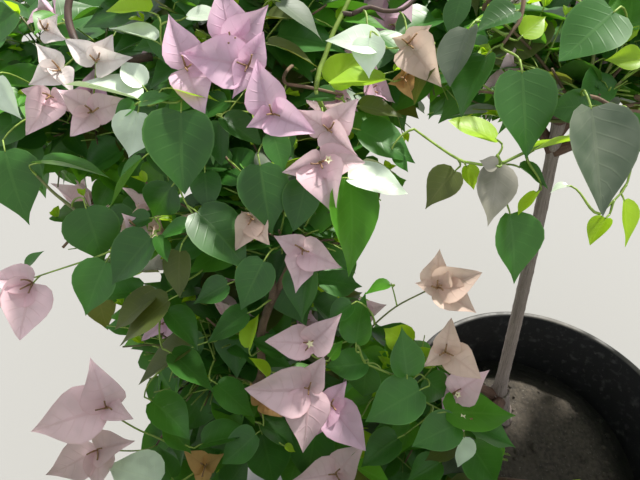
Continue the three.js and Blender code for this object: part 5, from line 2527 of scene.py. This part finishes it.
@dataclass
class Soil:
    """The mound of soil in the tub, with loose clods on it."""

    tub: Tub
    crest: float = 0.290
    edge: float = 0.238
    bottom: float = 0.0075
    gap: float = 0.0006
    clods: int = 90
    clod_size: tuple[float, float] = (0.003, 0.010)

    def height(self, radius: float) -> float:
        """Give the mound's height at a distance from the tub's axis.

        Args:
            radius: The distance.

        Returns:
            The height.
        """
        edge_radius = self.tub.inner_radius(self.edge)
        share = min(max((edge_radius - radius) / (edge_radius - 0.12), 0), 1)
        return mix((self.edge, self.crest - 0.004), math.sin(share * math.pi / 2))

    def build(self, material: bpy.types.Material) -> bpy.types.Object:
        """Model the mound from a sphere: a domed top, a straight side and a flat bottom.

        Args:
            material: Its earth.

        Returns:
            The finished piece.
        """
        deselect()
        edge_radius = self.tub.inner_radius(self.edge) - self.gap
        bpy.ops.mesh.primitive_uv_sphere_add(segments=144, ring_count=96, radius=edge_radius)
        piece = bpy.context.object
        piece.name = "soil_mound"
        mesh = piece.data
        top = piece.vertex_groups.new(name="top")
        for vertex in mesh.vertices:
            radius = vertex.co.xy.length
            if vertex.co.z > -1e-5:
                vertex.co.z = self.height(radius)
                top.add([vertex.index], min((edge_radius - radius) / 0.02, 1), "REPLACE")
            else:
                low = self.tub.inner_radius(self.bottom) - self.gap
                depth = min(-vertex.co.z / edge_radius * 1.6, 1)
                vertex.co.z = mix((self.edge, self.bottom), depth)
                limit = mix((edge_radius, low), depth)
                shrink = limit / max(radius, 1e-6) if depth < 1 else min(limit / max(edge_radius, 1e-6), 1)
                vertex.co.x *= shrink
                vertex.co.y *= shrink
        for label, texture, strength, level in (
            ("Hollows", clouds("hollows", 0.09), 0.026, 0.55),
            ("Crumbs", clouds("crumbs", 0.016, 4), 0.009, 0.5),
        ):
            apply(
                piece, "DISPLACE", label, texture=texture, texture_coords="LOCAL", direction="Z",
                strength=strength, mid_level=level, vertex_group="top",
            )
        mesh.polygons.foreach_set("use_smooth", np.ones(len(mesh.polygons), bool))
        mesh.materials.append(material)
        return piece

    def build_clods(self, mound: bpy.types.Object, material: bpy.types.Material) -> bpy.types.Object:
        """Model one clod and scatter copies over the mound as one joined piece.

        Args:
            mound: The finished mound.
            material: Its earth.

        Returns:
            The finished piece.
        """
        deselect()
        bpy.ops.mesh.primitive_ico_sphere_add(subdivisions=2, radius=1)
        model = bpy.context.object
        lumps = clouds("clod", 0.8)
        apply(model, "DISPLACE", "Lumps", texture=lumps, texture_coords="LOCAL", strength=0.5)
        places = np.array([vertex.co[:] for vertex in model.data.vertices])
        net = Net.of([tuple(face.vertices) for face in model.data.polygons], np.zeros((len(places), 2)))
        bpy.data.objects.remove(model)
        tops = np.array([vertex.co[:] for vertex in mound.data.vertices if vertex.co.z > self.edge - 0.01])
        draw = seeded(7)
        batch = Batch("soil_clods")
        for _ in range(self.clods):
            radius = self.tub.inner_radius(self.edge) * 0.93 * math.sqrt(draw())
            angle = draw() * FULL_TURN
            spot = np.array([radius * math.cos(angle), radius * math.sin(angle)])
            ground = tops[np.argmin(np.linalg.norm(tops[:, :2] - spot, axis=1)), 2]
            size = mix(self.clod_size, draw() ** 2)
            turn = draw() * FULL_TURN
            cos, sin = math.cos(turn), math.sin(turn)
            spin = np.array([[cos, -sin, 0], [sin, cos, 0], [0, 0, 1]])
            shape = places * (1, mix((0.7, 1), draw()), mix((0.5, 0.8), draw())) @ spin.T * size
            batch.add(shape + (*spot, ground + size * 0.2), net, 0)
        return batch.build([material])


# The whole plant

SIDES = {
    "middle": ("foliage_centre", "foliage_near", "foliage_low", "foliage_lower_left", "foliage_top_centre"),
    "left": ("foliage_upper_left", "foliage_left", "foliage_side_left", "foliage_front_left"),
    "front": ("foliage_front", "foliage_front_right", "foliage_right", "foliage_low_right"),
    "back": ("foliage_back_left", "foliage_top", "foliage_back_right", "foliage_back", "foliage_low_back"),
}


@dataclass
class Bush:
    """Limbs, leaves and blossom."""

    effects: Effects
    view: View = View()
    upright: tuple[str, ...] = ("trunk", "leader")  # the limbs with old, grey bark
    trunk_sides: int = 48
    limb_sides: int = 20

    def __post_init__(self) -> None:
        """Grow the limbs' lines and make the finishes."""
        self.limbs = grow_limbs()
        self.wood = Wood(self.limbs.values())
        self.finishes = {
            "leaves": [LEAF_FINISHES[tint].material(self.effects) for tint in Leaf],
            "twigs": [TWIG_FINISHES[tint].material(self.effects) for tint in Twig],
            "bracts": [BRACT_FINISHES[tint].material(self.effects) for tint in Bract],
            "flowers": [finish.material(self.effects) for finish in FLOWER_FINISHES],
        }

    def build_wood(self) -> None:
        """Model every limb with its bark."""
        grey = GREY_BARK.material(self.effects)
        red = RED_BARK.material(self.effects)
        for name, limb in self.limbs.items():
            old = name in self.upright
            sides = self.trunk_sides if name == "trunk" else self.limb_sides
            piece = BarkedLimb(limb, sides=sides).build(grey if old else red)
            settle(piece, "old_bark" if old else "cane_bark", name)

    def build_crown(self) -> None:
        """Grow every mass, then the near sprigs, and make the joined meshes."""
        carrying = [limb for limb in self.limbs.values() if limb.row.mass]
        sides = {name: Kinds(name) for name in SIDES}
        twigs: list[Route] = []
        crowd = Crowd(Growth.spacing)
        for order, limb in enumerate(carrying, start=1):
            others = [other.row.mass for other in carrying if other is not limb]
            side = next(name for name, members in SIDES.items() if limb.row.mass.name in members)
            space = Space(limb.row.mass, others, self.wood)
            mass = Mass(limb, order, space, crowd, self.view, sides[side])
            mass.grow()
            twigs += mass.twigs
            LOG.info("%s: %d leaves and bracts so far", limb.row.mass.name, crowd.count)
        near = Kinds("near")
        Sprigs(self.view.sight, near, twigs).grow()
        for kinds, kind in itertools.product((*sides.values(), near), self.finishes):
            batch = getattr(kinds, kind)
            if batch.count:
                piece = batch.build(self.finishes[kind])
                if kind == "leaves":
                    settle(piece, "foliage", *kinds.nodes)
                else:
                    settle(piece, kind)


def settle(piece: bpy.types.Object, slot: str, *nodes: str) -> None:
    """Let a finished piece ride on the plant's body and stand for its solids.

    Args:
        piece: The finished piece.
        slot: Not used.
        nodes: The solids that it stands for.
    """
    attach(piece, "root")
    if nodes:
        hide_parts(*nodes)
    LOG.info("%s: %d faces", piece.name, len(piece.data.polygons))


@dataclass
class Studio:
    """The plain room: a pale floor, soft light and the camera."""

    sight: Sight
    floor_size: float = 30.0
    floor_colour: Colour = (0.30, 0.295, 0.285)
    world: Colour = (0.94, 0.97, 1.0)
    world_strength: float = 0.92
    sun_strength: float = 6.5
    sun_size_deg: float = 4.0
    sun_turn_deg: tuple[float, float, float] = (-32.0, 28.0, 0.0)

    def build(self) -> None:
        """Make the floor, the lights and the camera."""
        deselect()
        bpy.ops.mesh.primitive_grid_add(x_subdivisions=4, y_subdivisions=4, size=self.floor_size)
        floor = bpy.context.object
        floor.name = "floor"
        surface = Surface("Pale floor")
        surface.set(Base_Color=self.floor_colour, Roughness=0.9)
        floor.data.materials.append(surface.material)
        world = bpy.data.worlds.new("soft light")
        world.use_nodes = True
        background = next(node for node in world.node_tree.nodes if node.type == "BACKGROUND")
        background.inputs["Color"].default_value = (*self.world, 1)
        background.inputs["Strength"].default_value = self.world_strength
        bpy.context.scene.world = world
        lamp = bpy.data.lights.new("key", "SUN")
        lamp.energy = self.sun_strength
        lamp.angle = math.radians(self.sun_size_deg)
        lamp.color = (1.0, 0.97, 0.9)
        item = bpy.data.objects.new("key", lamp)
        item.rotation_euler = tuple(math.radians(angle) for angle in self.sun_turn_deg)
        bpy.context.scene.collection.objects.link(item)
        bpy.context.scene.view_settings.view_transform = "Standard"
        self.sight.camera()


def main() -> None:
    """Build everything in order."""
    logging.basicConfig(level=logging.INFO, format="%(message)s")
    effects = Effects()
    tub = Tub()
    settle(tub.build(PlasticFinish().material(effects)), "tub", "tub")
    soil = Soil(tub)
    earth = SoilFinish().material(effects)
    mound = soil.build(earth)
    settle(mound, "soil", "soil")
    settle(soil.build_clods(mound, earth), "soil")
    bush = Bush(effects)
    bush.build_wood()
    bush.build_crown()
    Studio(bush.view.sight).build()


if __name__ == "__main__":
    main()
